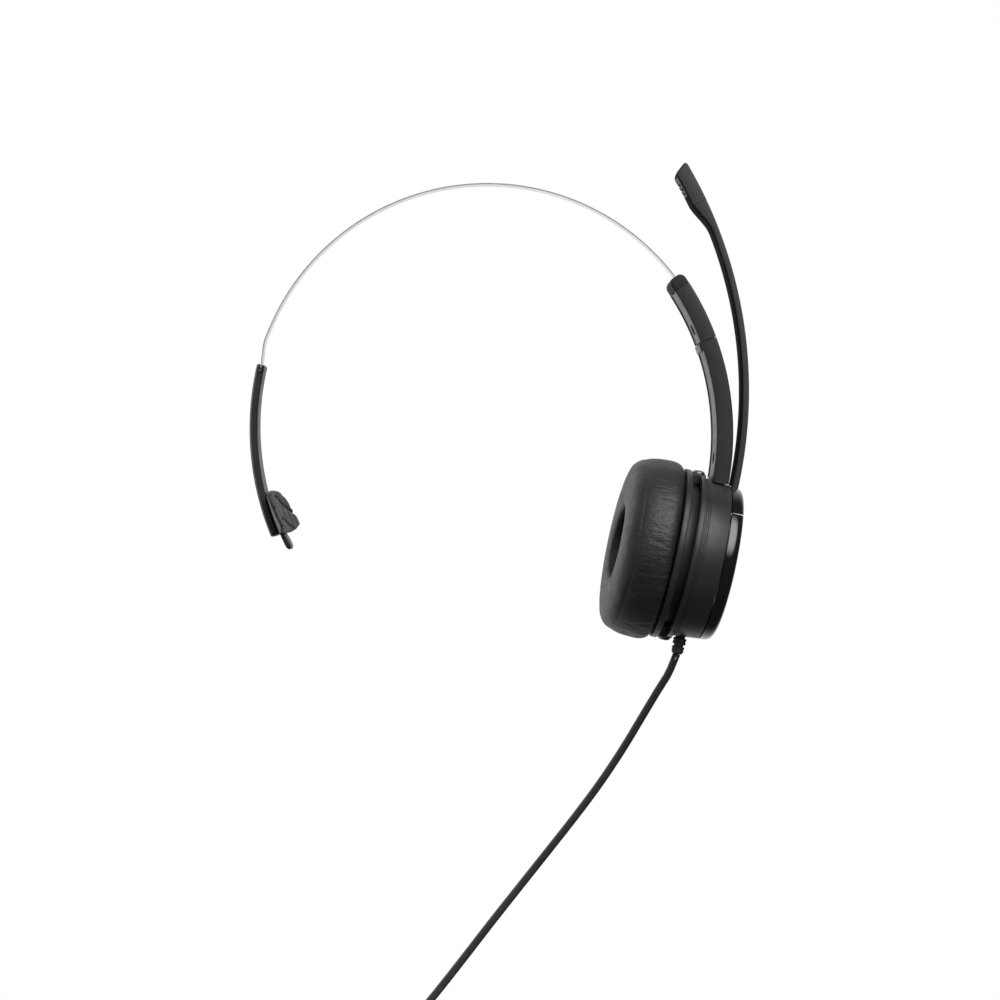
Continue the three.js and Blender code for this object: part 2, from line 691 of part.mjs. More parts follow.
const micFoot = boomTopAngle + 0.12;
const micFull = micFoot + 3.3;
const micEnd = boomTopAngle + micSpan;
const micInner = boomOuter - micThickness;
const micShape = new THREE.Shape();
const micCorners = [
  pointAt(boomCentre, boomInner, micFoot),
  pointAt(boomCentre, boomOuter, micFoot),
  pointAt(boomCentre, boomOuter + 0.05, (micFoot + micEnd) / 2),
  pointAt(boomCentre, boomOuter, micEnd + micTipSlant - 0.3),
  pointAt(boomCentre, boomOuter - 0.8, micEnd + micTipSlant),
  pointAt(boomCentre, micInner + 0.7, micEnd),
  pointAt(boomCentre, micInner, micEnd - 0.25),
  pointAt(boomCentre, micInner, micFull),
];
micShape.setFromPoints(micCorners.map((p) => new THREE.Vector2(p.x, p.z)));
const micPocketFrom = micFull + 0.2;
const micPocketTo = micEnd - 0.5;
const micPocketWidth = boomWidth - 2 * micWall;
const micPocket = bentBar(
  boomCentre, micInner - past, boomOuter - micWall, micPocketFrom, micPocketTo, micPocketWidth, 2,
);
add(group, 'mic_housing', cut(standing(micShape, boomWidth), micPocket), 'satinBlack');

const micCoverTop = micInner + 1;
const micCoverAngle = 0.12;
const micSlots = [];
const micSlotCount = 3;
for (let i = 0; i < micSlotCount; i += 1) {
  const middle = micPocketFrom + ((i + 1) * (micPocketTo - micPocketFrom)) / (micSlotCount + 1);
  micSlots.push(bentBar(
    boomCentre, micInner - past, micCoverTop + past, middle - 0.15, middle + 0.15, micPocketWidth - 2.4, 1,
  ));
}
const micCover = bentBar(
  boomCentre, micInner, micCoverTop, micPocketFrom + micCoverAngle, micPocketTo - micCoverAngle,
  micPocketWidth - 2 * gap, 2,
);
add(group, 'mic_cover', cut(micCover, ...micSlots), 'satinBlack');
const capsuleAngle = (micPocketFrom + micPocketTo) / 2;
const capsule = radialPin(
  boomCentre, capsuleAngle, micCoverTop + gap, boomOuter - micWall - gap, capsuleRadius, 16,
);
add(group, 'mic_capsule', capsule, 'steel');

// ---- strain relief, in the cup's own frame, pointing straight down from the drum ------------
const reliefInside = drumBore - 0.4 - 2 * gap;
const reliefFlange = 0.7;
const reliefCollar = 1.9; // depth of one rubber collar
const reliefTip = drumRadius + reliefLength;
const reliefProfile = [
  [0, reliefInside - reliefFlange],
  [reliefRadius + 0.9, reliefInside - reliefFlange],
  [reliefRadius + 0.9, reliefInside],
  [reliefNeck, reliefInside],
  [reliefNeck, drumRadius + 0.4],
  [reliefRadius, drumRadius + 0.5],
  [reliefRadius, drumRadius + 0.5 + reliefCollar],
  [reliefNeck - 0.2, drumRadius + 0.6 + reliefCollar],
  [reliefNeck - 0.2, drumRadius + 1.3 + reliefCollar],
  [reliefRadius - 0.1, drumRadius + 1.4 + reliefCollar],
  [reliefRadius - 0.2, reliefTip - 0.7],
  [cordDiameter / 2 + 0.1, reliefTip],
  [0, reliefTip],
];
const relief = turned(reliefProfile, 16).rotateZ(90 * RADIANS).translate(0, reliefStation, 0);
add(cupFrame, 'strain_relief', relief, 'rubber');

// ---- cord: hangs from the relief, sweeps to the floor, and is coiled and tied there ---------
const coilBottom = floorHeight + tieThickness + gap;
const coilHalf = (coilColumns * cordDiameter) / 2;
const coilTop = coilBottom + coilColumns * cordDiameter;
const coilOuter = coilRadius + coilHalf;
const outerTurn = coilOuter - cordDiameter / 2;
const cordExit = cupPoint(-reliefTip - gap, reliefStation);
const landing = coilBottom + cordDiameter / 2;
const clearOfCoil = Math.sqrt(coilOuter ** 2 - (outerTurn - cordDiameter / 2) ** 2) + gap + 0.2;
const dropEndX = coilX + clearOfCoil;
const cordRoute = [
  [cordExit.x, 0, cordExit.z],
  [65.2, 0, -91.4],
  [61.6, 0, -97.2],
  [55.6, 0, -107.2],
  [48.6, 0, -118.8],
  [40.6, 0, -130.8],
  [31.9, 0, -142.5],
  [22, -0.4, -155],
  [11.5, -1.2, -168],
  [1, -2.4, -181],
  [-9, -4.1, -193.5],
  [-18.5, -6.2, -205],
  [-26.5, -8.4, -214],
  [-33.2, -10, -220.4],
  [dropEndX, coilY + outerTurn, landing],
];

function cordTube(points, diameter, steps) {
  const curve = new THREE.CatmullRomCurve3(points.map((p) => new THREE.Vector3(...p)), false, 'centripetal');
  const section = new THREE.Shape();
  const sides = 8;
  for (let i = 0; i < sides; i += 1) {
    const turn = (i * FULL_TURN) / sides;
    const corner = [(diameter / 2) * Math.cos(turn), (diameter / 2) * Math.sin(turn)];
    section[i === 0 ? 'moveTo' : 'lineTo'](...corner);
  }
  section.closePath();
  return new THREE.ExtrudeGeometry(section, { steps, extrudePath: curve, bevelEnabled: false });
}

add(group, 'cord_drop', cordTube(cordRoute, cordDiameter, 30), 'vinyl');

const coil = turned([
  [coilRadius - coilHalf, coilBottom],
  [coilOuter, coilBottom],
  [coilOuter, coilTop],
  [coilRadius - coilHalf, coilTop],
], 28);
coil.rotateX(90 * RADIANS).translate(coilX, coilY, 0);
add(group, 'cord_coil', coil, 'vinyl');

const plugY = coilY - outerTurn;
const plugZ = floorHeight + plugHeight / 2;
const tailStart = coilTop - cordDiameter / 2;
const tailRoute = [
  [coilX + clearOfCoil, plugY, tailStart - 1.8],
  [coilX + clearOfCoil + 5, plugY, (tailStart + plugZ) / 2],
  [plugX - 3.6, plugY, plugZ + 0.3],
  [plugX - gap, plugY, plugZ],
];
add(group, 'cord_tail', cordTube(tailRoute, cordDiameter, 5), 'vinyl');

const tieInnerX = Math.sqrt((coilRadius - coilHalf) ** 2 - (tieWidth / 2) ** 2) - gap;
const tieOuterX = coilOuter + gap;
const tieMiddleX = coilX - (tieInnerX + tieOuterX) / 2;
const tieHoleX = tieOuterX - tieInnerX;
const tieHoleZ = coilTop - coilBottom + 2 * gap;
const tieMiddleZ = (coilTop + coilBottom) / 2;
const tieBlock = block(
  tieMiddleX, coilY, tieMiddleZ, tieHoleX + 2 * tieThickness, tieWidth, tieHoleZ + 2 * tieThickness,
);
const tieHole = block(tieMiddleX, coilY, tieMiddleZ, tieHoleX, tieWidth + 2, tieHoleZ);
add(group, 'cord_tie', cut(tieBlock, tieHole), 'cloth');

// ---- USB plug -----------------------------------------------------------------------------
const shellX = plugX + plugLength + gap;
const shellWall = 0.4;
const grip = block(plugX + plugLength / 2, plugY, plugZ, plugLength, plugWidth, plugHeight);
add(group, 'usb_plug_grip', grip, 'rubber');
const shellBlock = block(shellX + shellLength / 2, plugY, plugZ, shellLength, shellWidth, shellHeight);
const shellHollow = block(
  shellX + shellLength / 2 + 1.4, plugY, plugZ,
  shellLength, shellWidth - 2 * shellWall, shellHeight - 2 * shellWall,
);
add(group, 'usb_plug_shell', cut(shellBlock, shellHollow), 'steel');
const tongueFoot = shellX + 1.4 + gap;
const usbTongueLength = shellLength - 2.4;
const usbTongue = block(
  tongueFoot + usbTongueLength / 2, plugY, plugZ + 0.8, usbTongueLength, shellWidth - 2 * shellWall - 2 * gap, 1.4,
);
add(group, 'usb_plug_tongue', usbTongue, 'glossBlack');

export default group;
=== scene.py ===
import json

import bmesh
import bpy
import numpy as np
from mathutils import Euler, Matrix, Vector


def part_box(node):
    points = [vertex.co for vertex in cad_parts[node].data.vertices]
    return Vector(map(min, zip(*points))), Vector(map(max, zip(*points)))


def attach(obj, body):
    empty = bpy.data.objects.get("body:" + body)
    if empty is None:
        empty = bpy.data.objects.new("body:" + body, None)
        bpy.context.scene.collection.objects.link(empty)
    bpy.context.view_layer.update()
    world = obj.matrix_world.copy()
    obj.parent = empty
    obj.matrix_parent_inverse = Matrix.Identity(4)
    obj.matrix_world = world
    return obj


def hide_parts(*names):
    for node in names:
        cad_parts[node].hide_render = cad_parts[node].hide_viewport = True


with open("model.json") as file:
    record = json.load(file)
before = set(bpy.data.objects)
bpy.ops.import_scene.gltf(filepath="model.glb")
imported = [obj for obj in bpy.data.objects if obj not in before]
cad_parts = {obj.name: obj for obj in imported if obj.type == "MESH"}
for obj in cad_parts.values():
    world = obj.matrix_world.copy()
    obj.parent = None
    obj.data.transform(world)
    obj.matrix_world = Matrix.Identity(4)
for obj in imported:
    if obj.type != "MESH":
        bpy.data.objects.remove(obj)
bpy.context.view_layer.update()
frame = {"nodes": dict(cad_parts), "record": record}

# ---- Camera and studio -------------------------------------------------------------------------
# The headset is seen square from the front, a little below the middle of its band. A white room
# that only the camera sees stands round it. The light comes from a bright sky behind, a bright
# patch of sky above the front, and three soft lights.
camera = bpy.data.objects.new("camera", bpy.data.cameras.new("camera"))
camera.location = (0.0046, -0.6, -0.0289)
camera.rotation_euler = Euler((np.radians(90), 0, 0))
camera.data.lens = 60
camera.data.sensor_width = 36
camera.data.clip_start = 0.01
bpy.context.scene.collection.objects.link(camera)
bpy.context.scene.camera = camera
bpy.context.scene.view_settings.view_transform = "Standard"

room_radius = 3.0
room_sides, room_rings = 64, 16
floor_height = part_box("cord_tie")[0][2]
floor_data = bpy.data.meshes.new("floor")
turn, rise = np.meshgrid(
    np.linspace(0, 2 * np.pi, room_sides + 1)[:-1], np.linspace(0, np.pi / 2, room_rings + 1)[:-1])
dome = np.stack([
    np.cos(turn) * np.cos(rise), np.sin(turn) * np.cos(rise), np.sin(rise)], -1)
dome = dome.reshape(-1, 3) * room_radius + [0, 0, floor_height]
row, column = np.meshgrid(np.arange(room_rings - 1), np.arange(room_sides), indexing="ij")
beside = (column + 1) % room_sides
low, high = row * room_sides, (row + 1) * room_sides
dome_faces = np.stack([low + column, low + beside, high + beside, high + column], -1)
lowest_ring = np.arange(room_sides)
highest_ring = lowest_ring + (room_rings - 1) * room_sides
floor_data.from_pydata(
    dome.tolist(), [],
    dome_faces.reshape(-1, 4).tolist() + [lowest_ring[::-1].tolist(), highest_ring.tolist()])
floor = bpy.data.objects.new("floor", floor_data)
bpy.context.scene.collection.objects.link(floor)
paper = bpy.data.materials.new("white_paper")
paper.use_nodes = True
paper.node_tree.nodes.clear()
glow = paper.node_tree.nodes.new("ShaderNodeEmission")
glow.inputs["Color"].default_value = (1, 1, 1, 1)
glow.inputs["Strength"].default_value = 1.0
paper_out = paper.node_tree.nodes.new("ShaderNodeOutputMaterial")
paper.node_tree.links.new(glow.outputs[0], paper_out.inputs["Surface"])
floor_data.materials.append(paper)
for kind in ("diffuse", "glossy", "shadow", "transmission"):
    setattr(floor, "visible_" + kind, False)

sky = bpy.data.worlds.new("sky")
bpy.context.scene.world = sky
sky.use_nodes = True
sky_nodes = sky.node_tree.nodes
sky_nodes.clear()
direction = sky_nodes.new("ShaderNodeTexCoord")
backdrop = sky_nodes.new("ShaderNodeBackground")
sky_out = sky_nodes.new("ShaderNodeOutputWorld")
sky.node_tree.links.new(backdrop.outputs[0], sky_out.inputs["Surface"])
faint_sky = 0.05


def sky_patch(aim, start, full, strength, rest):
    """Adds a soft patch of light to the rest of the sky, round the direction `aim`: a smooth step,
    from the cosine `start` to the cosine `full`, of how closely a direction points along it."""
    closeness = sky_nodes.new("ShaderNodeVectorMath")
    closeness.operation = "DOT_PRODUCT"
    closeness.inputs[1].default_value = Vector(aim).normalized()
    sky.node_tree.links.new(direction.outputs["Generated"], closeness.inputs[0])
    fade = sky_nodes.new("ShaderNodeMapRange")
    fade.interpolation_type = "SMOOTHSTEP"
    fade.inputs["From Min"].default_value = start
    fade.inputs["From Max"].default_value = full
    fade.inputs["To Min"].default_value = 0.0
    fade.inputs["To Max"].default_value = strength
    sky.node_tree.links.new(closeness.outputs["Value"], fade.inputs["Value"])
    total = sky_nodes.new("ShaderNodeMath")
    total.operation = "ADD"
    total.inputs[0].default_value = faint_sky
    if rest is not None:
        sky.node_tree.links.new(rest, total.inputs[0])
    sky.node_tree.links.new(fade.outputs["Result"], total.inputs[1])
    return total.outputs[0]


behind = sky_patch((-0.35, 0.93, 0.1), 0.15, 0.85, 1.0, None)
behind_and_left = sky_patch((-1, -0.05, 0.05), 0.55, 0.95, 0.5, behind)
whole_sky = sky_patch((0.33, -0.68, 0.65), 0.82, 0.995, 6.0, behind_and_left)
sky.node_tree.links.new(whole_sky, backdrop.inputs["Strength"])


def softbox(name, place, aim, size, power, tint=(1, 1, 1)):
    """A flat rectangular light at `place`, in metres, turned to face `aim`. Polished surfaces
    don't reflect it."""
    lamp = bpy.data.lights.new(name, "AREA")
    lamp.shape = "RECTANGLE"
    lamp.size, lamp.size_y = size
    lamp.energy = power
    lamp.color = tint
    holder = bpy.data.objects.new(name, lamp)
    holder.location = place
    towards = Vector(aim) - Vector(place)
    holder.rotation_euler = towards.to_track_quat("-Z", "Y").to_euler()
    holder.visible_glossy = False
    bpy.context.scene.collection.objects.link(holder)


softbox("top_box", (0.3, -0.42, 0.9), (0.06, 0, -0.05), (0.5, 0.3), 7.5)
softbox("low_box", (0.25, -0.75, -0.55), (0.05, 0, -0.05), (0.7, 0.35), 1.5, (0.84, 0.91, 1))
softbox("front_box", (-0.35, -0.95, 0.25), (0, 0, -0.02), (0.8, 0.6), 0.9)

# ---- Cord --------------------------------------------------------------------------------------
# A round vinyl-jacketed cord, 2.8 mm thick, sold as 1.8 m long and moulded into the ear cup's
# relief. It sweeps down to the floor, where its spare length is wound in a tight coil that ends
# at the plug.
joints = {joint["name"]: joint for joint in frame["record"]["behaviour"]["joints"]}
cup_centre = np.array(joints["boom_turn"]["pos_m"]) * 1000
outwards = np.array(joints["boom_turn"]["axis"], float)
upwards = np.array(joints["pod_swivel"]["axis"], float)
sideways = np.array([0.0, 1.0, 0.0])


def in_cup(rise, side, station):
    """Millimetres: the cup's centre + rise * up + side * Y + station * outwards."""
    rise, side, station = np.broadcast_arrays(rise, side, station)
    return (cup_centre + rise[..., None] * upwards + side[..., None] * sideways
            + station[..., None] * outwards)


def solid(name, grid, rows_close=False):
    """A closed mesh from a grid of points in millimetres, point [i, j] being row i, column j.
    Columns always close on themselves. Rows close as well on a ring. Otherwise a first or last
    row that is a single point is a pole, and any other is closed by a strip of faces that joins
    column j to column m - 1 - j. The UV map holds lengths along the two directions, in mm."""
    n, m = grid.shape[:2]
    points = grid.reshape(-1, 3) * 0.001
    rows = n if rows_close else n - 1
    i, j = np.meshgrid(np.arange(rows), np.arange(m), indexing="ij")
    below, beside = (i + 1) % n, (j + 1) % m
    quads = np.stack([i * m + j, i * m + beside, below * m + beside, below * m + j], -1)
    girth = np.linalg.norm(np.roll(grid, -1, 1) - grid, axis=2).max(0)
    across = np.concatenate([[0], np.cumsum(girth)])
    along = np.concatenate([[0], np.cumsum(
        np.linalg.norm(np.roll(grid, -1, 0) - grid, axis=2).max(1))])
    uv = np.stack([
        np.stack([across[j], along[i]], -1), np.stack([across[j + 1], along[i]], -1),
        np.stack([across[j + 1], along[i + 1]], -1), np.stack([across[j], along[i + 1]], -1)], -2)
    faces, face_uv = [quads.reshape(-1, 4)], [uv.reshape(-1, 4, 2)]
    if not rows_close:
        for end in (0, n - 1):
            if np.ptp(grid[end], axis=0).max() < 1e-6:
                continue
            k = np.arange(m // 2 - 1)
            strip = np.stack([k, k + 1, m - 2 - k, m - 1 - k], -1) + end * m
            strip = strip[:, ::-1] if end == 0 else strip
            faces.append(strip)
            place = np.stack([across[strip % m], np.full(strip.shape, along[end])], -1)
            face_uv.append(place)
    faces, face_uv = np.concatenate(faces), np.concatenate(face_uv)
    corner = points[faces]
    normal = np.cross(corner[:, 2] - corner[:, 0], corner[:, 3] - corner[:, 1])
    if (normal * corner.mean(1)).sum() < 0:
        faces, face_uv = faces[:, ::-1], face_uv[:, ::-1]
    mesh = bpy.data.meshes.new(name)
    mesh.from_pydata(points.tolist(), [], faces.tolist())
    layer = mesh.uv_layers.new(name="lengths")
    layer.data.foreach_set("uv", (face_uv * 0.001).astype(np.float32).ravel())
    piece = bpy.data.objects.new(name, mesh)
    bpy.context.scene.collection.objects.link(piece)
    weld_poles(piece)
    mesh.polygons.foreach_set("use_smooth", np.ones(len(mesh.polygons), bool))
    return piece


def weld_poles(piece):
    """Merges points that share one place, and drops faces that have shrunk to a line."""
    work = bmesh.new()
    work.from_mesh(piece.data)
    bmesh.ops.remove_doubles(work, verts=work.verts, dist=1e-7)
    bmesh.ops.dissolve_degenerate(work, edges=work.edges, dist=1e-8)
    work.to_mesh(piece.data)
    work.free()


def smooth_path(points, spacing):
    """A Catmull-Rom curve through the points: on each span from B to C with neighbours A and D,
    half of (2B + (C-A)t + (2A-5B+4C-D)t^2 + (3B-A-3C+D)t^3), sampled at an even spacing."""
    p = np.asarray(points, float)
    p = np.vstack([2 * p[0] - p[1], p, 2 * p[-1] - p[-2]])
    a, b, c, d = p[:-3, None], p[1:-2, None], p[2:-1, None], p[3:, None]
    t = np.linspace(0, 1, 40, endpoint=False)[None, :, None]
    fine = 0.5 * (2 * b + (c - a) * t + (2 * a - 5 * b + 4 * c - d) * t ** 2
                  + (3 * b - a - 3 * c + d) * t ** 3)
    fine = np.vstack([fine.reshape(-1, p.shape[1]), p[-2]])
    run = np.concatenate([[0], np.cumsum(np.linalg.norm(np.diff(fine, axis=0), axis=1))])
    even = np.linspace(0, run[-1], int(round(run[-1] / spacing)) + 1)
    return np.stack([np.interp(even, run, fine[:, k]) for k in range(p.shape[1])], -1)


def tube(name, path, radius, sides=16):
    """Circles of `radius` round a path: P + r (cos v S + sin v U), where S is T x Z and U is
    S x T for the path's direction T. The radius may change along the path."""
    ahead = np.gradient(path, axis=0)
    ahead /= np.linalg.norm(ahead, axis=1, keepdims=True)
    side = np.cross(ahead, [0, 0, 1.0])
    side /= np.linalg.norm(side, axis=1, keepdims=True)
    up = np.cross(side, ahead)
    v = np.linspace(0, 2 * np.pi, sides + 1)[:-1]
    radius = np.broadcast_to(radius, len(path))[:, None, None]
    ring = np.cos(v)[None, :, None] * side[:, None] + np.sin(v)[None, :, None] * up[:, None]
    grid = path[:, None] + radius * ring
    ends = np.repeat(path[[0, -1], None], sides, 1)
    return solid(name, np.concatenate([ends[:1], grid, ends[1:]]))


cord_thick = 2.8
drum_radius = 28.9
relief_tip = drum_radius + 6.1
relief_station = 5.7
coil_x, coil_y = -50.0, -30.0
coil_radius = 15.4
coil_columns = 4
coil_turns = 15.5
tie_thick = 0.8
floor_mm = floor_height * 1000
coil_bottom = floor_mm + tie_thick + 0.3
outer_turn = coil_radius + (coil_columns - 1) * cord_thick / 2
cord_exit = in_cup(-relief_tip, 0, relief_station)
drop = [
    cord_exit.tolist(),
    [65.2, 0, -91.4],
    [61.6, 0, -97.2],
    [55.6, 0, -107.2],
    [48.6, 0, -118.8],
    [40.6, 0, -130.8],
    [31.9, 0, -142.5],
    [22, -0.4, -155],
    [11.5, -1.2, -168],
    [1, -2.4, -181],
    [-9, -4.1, -193.5],
    [-18.5, -6.2, -205],
    [-26.5, -8.4, -214],
    [-33.2, -10, -220.4],
    [-39.5, coil_y + outer_turn, coil_bottom + cord_thick / 2 + 0.3],
    [-46, coil_y + outer_turn, coil_bottom + cord_thick / 2],
]
steps_in_turn = 36
crossing_share = 0.2
wound = np.linspace(0, coil_turns, int(coil_turns * steps_in_turn) + 1)[1:]
lap = np.floor(wound)
ease_in = np.clip((wound - lap) / crossing_share, 0, 1)
ease_in = ease_in ** 2 * (3 - 2 * ease_in)


def coil_slot(turn_number):
    """Layer and column of a whole turn: layers fill from the floor up, and the columns run
    inwards on even layers and outwards on odd ones."""
    layer = np.floor(turn_number / coil_columns)
    place = turn_number - layer * coil_columns
    inward = layer % 2 == 0
    return layer, np.where(inward, coil_columns - 1 - place, place)


now, was = coil_slot(lap), coil_slot(np.maximum(lap - 1, 0))
layer = was[0] + (now[0] - was[0]) * ease_in
column = was[1] + (now[1] - was[1]) * ease_in
angle = np.pi / 2 + 2 * np.pi * wound
reach = coil_radius + (column - (coil_columns - 1) / 2) * cord_thick
coil = np.stack([
    coil_x + reach * np.cos(angle), coil_y + reach * np.sin(angle),
    coil_bottom + cord_thick * (layer + 0.5)], -1)
plug_y = coil_y - outer_turn
plug_z = floor_mm + 4.0
tail_z = coil[-1, 2]
tail = [
    coil[-1].tolist(),
    [-45, plug_y, tail_z - 0.3],
    [-39, plug_y, tail_z - 1.9],
    [-34, plug_y, (tail_z + plug_z) / 2],
    [-29.8, plug_y, plug_z + 0.4],
    [-26.1, plug_y, plug_z],
]
drop_step, tail_step = 3.0, 2.0
cord_path = np.vstack([smooth_path(drop, drop_step), coil[2:-1], smooth_path(tail, tail_step)])
cord = tube("cord", cord_path, cord_thick / 2)


def material(name, colour, roughness, **sockets):
    """A new node material whose shader has the given colour, roughness and other sockets."""
    made = bpy.data.materials.new(name)
    made.use_nodes = True
    shader = made.node_tree.nodes["Principled BSDF"]
    shader.inputs["Base Color"].default_value = (*colour, 1)
    shader.inputs["Roughness"].default_value = roughness
    for socket, value in sockets.items():
        shader.inputs[socket.replace("_", " ")].default_value = value
    return made


def noise(made, scale, detail=3.0, stretch=(1, 1, 1), source="Object"):
    """Noise at `scale` per metre, on Object coordinates or on the UV map of lengths."""
    tree = made.node_tree
    place = tree.nodes.new("ShaderNodeTexCoord")
    mapping = tree.nodes.new("ShaderNodeMapping")
    mapping.inputs["Scale"].default_value = [scale * share for share in stretch]
    texture = tree.nodes.new("ShaderNodeTexNoise")
    texture.inputs["Scale"].default_value = 1.0
    texture.inputs["Detail"].default_value = detail
    tree.links.new(place.outputs[source], mapping.inputs["Vector"])
    tree.links.new(mapping.outputs[0], texture.inputs["Vector"])
    return texture.outputs["Fac"]


def spread(made, value, socket, low, high, start=0.3, end=0.7):
    """Spreads a 0 to 1 pattern over low to high and feeds it to one of the shader's sockets."""
    tree = made.node_tree
    if isinstance(low, tuple):
        ramp = tree.nodes.new("ShaderNodeValToRGB")
        ramp.color_ramp.elements[0].position = start
        ramp.color_ramp.elements[1].position = end
        ramp.color_ramp.elements[0].color = (*low, 1)
        ramp.color_ramp.elements[1].color = (*high, 1)
        tree.links.new(value, ramp.inputs["Fac"])
        result = ramp.outputs["Color"]
    else:
        ramp = tree.nodes.new("ShaderNodeMapRange")
        ramp.inputs["From Min"].default_value = start
        ramp.inputs["From Max"].default_value = end
        ramp.inputs["To Min"].default_value = low
        ramp.inputs["To Max"].default_value = high
        tree.links.new(value, ramp.inputs["Value"])
        result = ramp.outputs["Result"]
    tree.links.new(result, tree.nodes["Principled BSDF"].inputs[socket])


def bumps(made, *layers):
    """Chains one Bump node for each (pattern, height in metres, strength) layer."""
    tree = made.node_tree
    last = None
    for pattern, height, strength in layers:
        bump = tree.nodes.new("ShaderNodeBump")
        bump.inputs["Distance"].default_value = height
        bump.inputs["Strength"].default_value = strength
        tree.links.new(pattern, bump.inputs["Height"])
        if last is not None:
            tree.links.new(last, bump.inputs["Normal"])
        last = bump.outputs["Normal"]
    tree.links.new(last, tree.nodes["Principled BSDF"].inputs["Normal"])


vinyl = material("cord_vinyl", (0.018, 0.019, 0.021), 0.3, Specular_IOR_Level=0.6)
spread(vinyl, noise(vinyl, 300, 3), "Roughness", 0.2, 0.3)
spread(vinyl, noise(vinyl, 40, 2), "Base Color", (0.022, 0.023, 0.026), (0.028, 0.029, 0.032))
bumps(vinyl, (noise(vinyl, 900, 2), 0.00001, 0.25))


def finish(piece, body, made, slot, *nodes):
    """Gives a piece its material and body, and names the CAD nodes it stands for. The slot
    argument is not used.
    """
    piece.data.materials.clear()
    piece.data.materials.append(made)
    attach(piece, body)
    if nodes:
        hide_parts(*nodes)


finish(cord, "ear_cup", vinyl, "cord_vinyl", "cord_drop", "cord_coil", "cord_tail")

# ---- Strain relief -----------------------------------------------------------------------------
# A soft rubber sleeve moulded on the cord where it leaves the drum: two ribbed collars with a
# narrow neck between them, snapped into the drum's wall.
relief_outline = np.array([
    [26.2, 0.1], [26.25, 3.1], [26.6, 3.2], [26.7, 1.75], [29.2, 1.75], [29.3, 2.25], [29.5, 2.4],
    [30.15, 2.4], [30.3, 2.15], [30.5, 2.15], [30.65, 2.4], [31.3, 2.4], [31.5, 2.2], [31.6, 1.75],
    [32.3, 1.75], [32.4, 2.15], [32.6, 2.3], [33.1, 2.3], [33.25, 2.05], [33.45, 2.05],
    [33.6, 2.2], [34.3, 2.1], [34.8, 1.8], [35.0, 1.5]])
relief = tube(
    "strain_relief", in_cup(-relief_outline[:, 0], 0, relief_station), relief_outline[:, 1], 32)
rubber = material("moulded_rubber", (0.03, 0.031, 0.034), 0.55)
spread(rubber, noise(rubber, 400, 3), "Roughness", 0.48, 0.66)
bumps(rubber, (noise(rubber, 5000, 2), 0.00003, 0.6))
finish(relief, "ear_cup", rubber, "rubber", "strain_relief")

# ---- Cord tie ----------------------------------------------------------------------------------
# A flat woven hook-and-loop strap, 8 mm wide, wrapped once round the coil's turns on the side
# away from the plug.
tie_low, tie_high = np.array(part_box("cord_tie")) * 1000


def eased(corners, ease, steps=4):
    """Rounds a closed outline: each corner C gives way to (1-t)^2 P + 2t(1-t) C + t^2 Q, where
    P and Q lie `ease` along the two sides that meet there."""
    c = np.asarray(corners, float)
    back, ahead = np.roll(c, 1, 0) - c, np.roll(c, -1, 0) - c
    back_run = np.linalg.norm(back, axis=1)[:, None]
    ahead_run = np.linalg.norm(ahead, axis=1)[:, None]
    ease = np.broadcast_to(np.asarray(ease, float), len(c))[:, None]
    p = (c + back / back_run * np.minimum(ease, 0.48 * back_run))[:, None]
    q = (c + ahead / ahead_run * np.minimum(ease, 0.48 * ahead_run))[:, None]
    t = np.linspace(0, 1, steps + 1)[None, :, None]
    return ((1 - t) ** 2 * p + 2 * t * (1 - t) * c[:, None] + t ** 2 * q).reshape(-1, c.shape[1])


def hoop(low, high, ease):
    """A rectangle in X and Z between two corners, rounded, then sampled at an even pitch."""
    corners = [[low[0], low[2]], [high[0], low[2]], [high[0], high[2]], [low[0], high[2]]]
    outline = eased(corners, ease, 6)
    outline = np.vstack([outline, outline[:1]])
    run = np.concatenate([[0], np.cumsum(np.linalg.norm(np.diff(outline, axis=0), axis=1))])
    even = np.linspace(0, run[-1], hoop_points + 1)[:-1]
    return np.stack([np.interp(even, run, outline[:, k]) for k in (0, 1)], -1)


hoop_points = 72
tie_inset = np.array([tie_thick, 0, tie_thick])
outer_hoop = hoop(tie_low, tie_high, 3.0)
inner_hoop = hoop(tie_low + tie_inset, tie_high - tie_inset, 2.4)
tie_y = [tie_low[1], tie_low[1] + 0.2, tie_high[1] - 0.2, tie_high[1]]
skin = 0.12
tie_rows = [
    (outer_hoop + (inner_hoop - outer_hoop) * skin, tie_y[0]), (outer_hoop, tie_y[1]),
    (outer_hoop, tie_y[2]), (outer_hoop + (inner_hoop - outer_hoop) * skin, tie_y[3]),
    (inner_hoop, tie_y[3]), (inner_hoop, tie_y[0])]
tie_grid = np.stack([
    np.stack([line[:, 0], np.full(hoop_points, y), line[:, 1]], -1) for line, y in tie_rows], 1)
tie = solid("cord_tie", tie_grid, rows_close=True)
strap = material("tie_strap", (0.012, 0.012, 0.013), 0.85, Sheen_Weight=0.3)
spread(
    strap, noise(strap, 1800, 2, (1, 5, 1)), "Base Color",
    (0.008, 0.008, 0.009), (0.03, 0.03, 0.032))
bumps(strap, (noise(strap, 2600, 2, (1, 4, 1)), 0.0002, 0.7))
finish(tie, "ear_cup", strap, "tie_strap", "cord_tie")

# ---- USB plug ----------------------------------------------------------------------------------
# A moulded rubber grip with finger grooves, round the folded steel shell of a flat connector. A
# plastic tongue sits inside the shell.
grip_low, grip_high = np.array(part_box("usb_plug_grip")) * 1000
shell_low, shell_high = np.array(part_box("usb_plug_shell")) * 1000


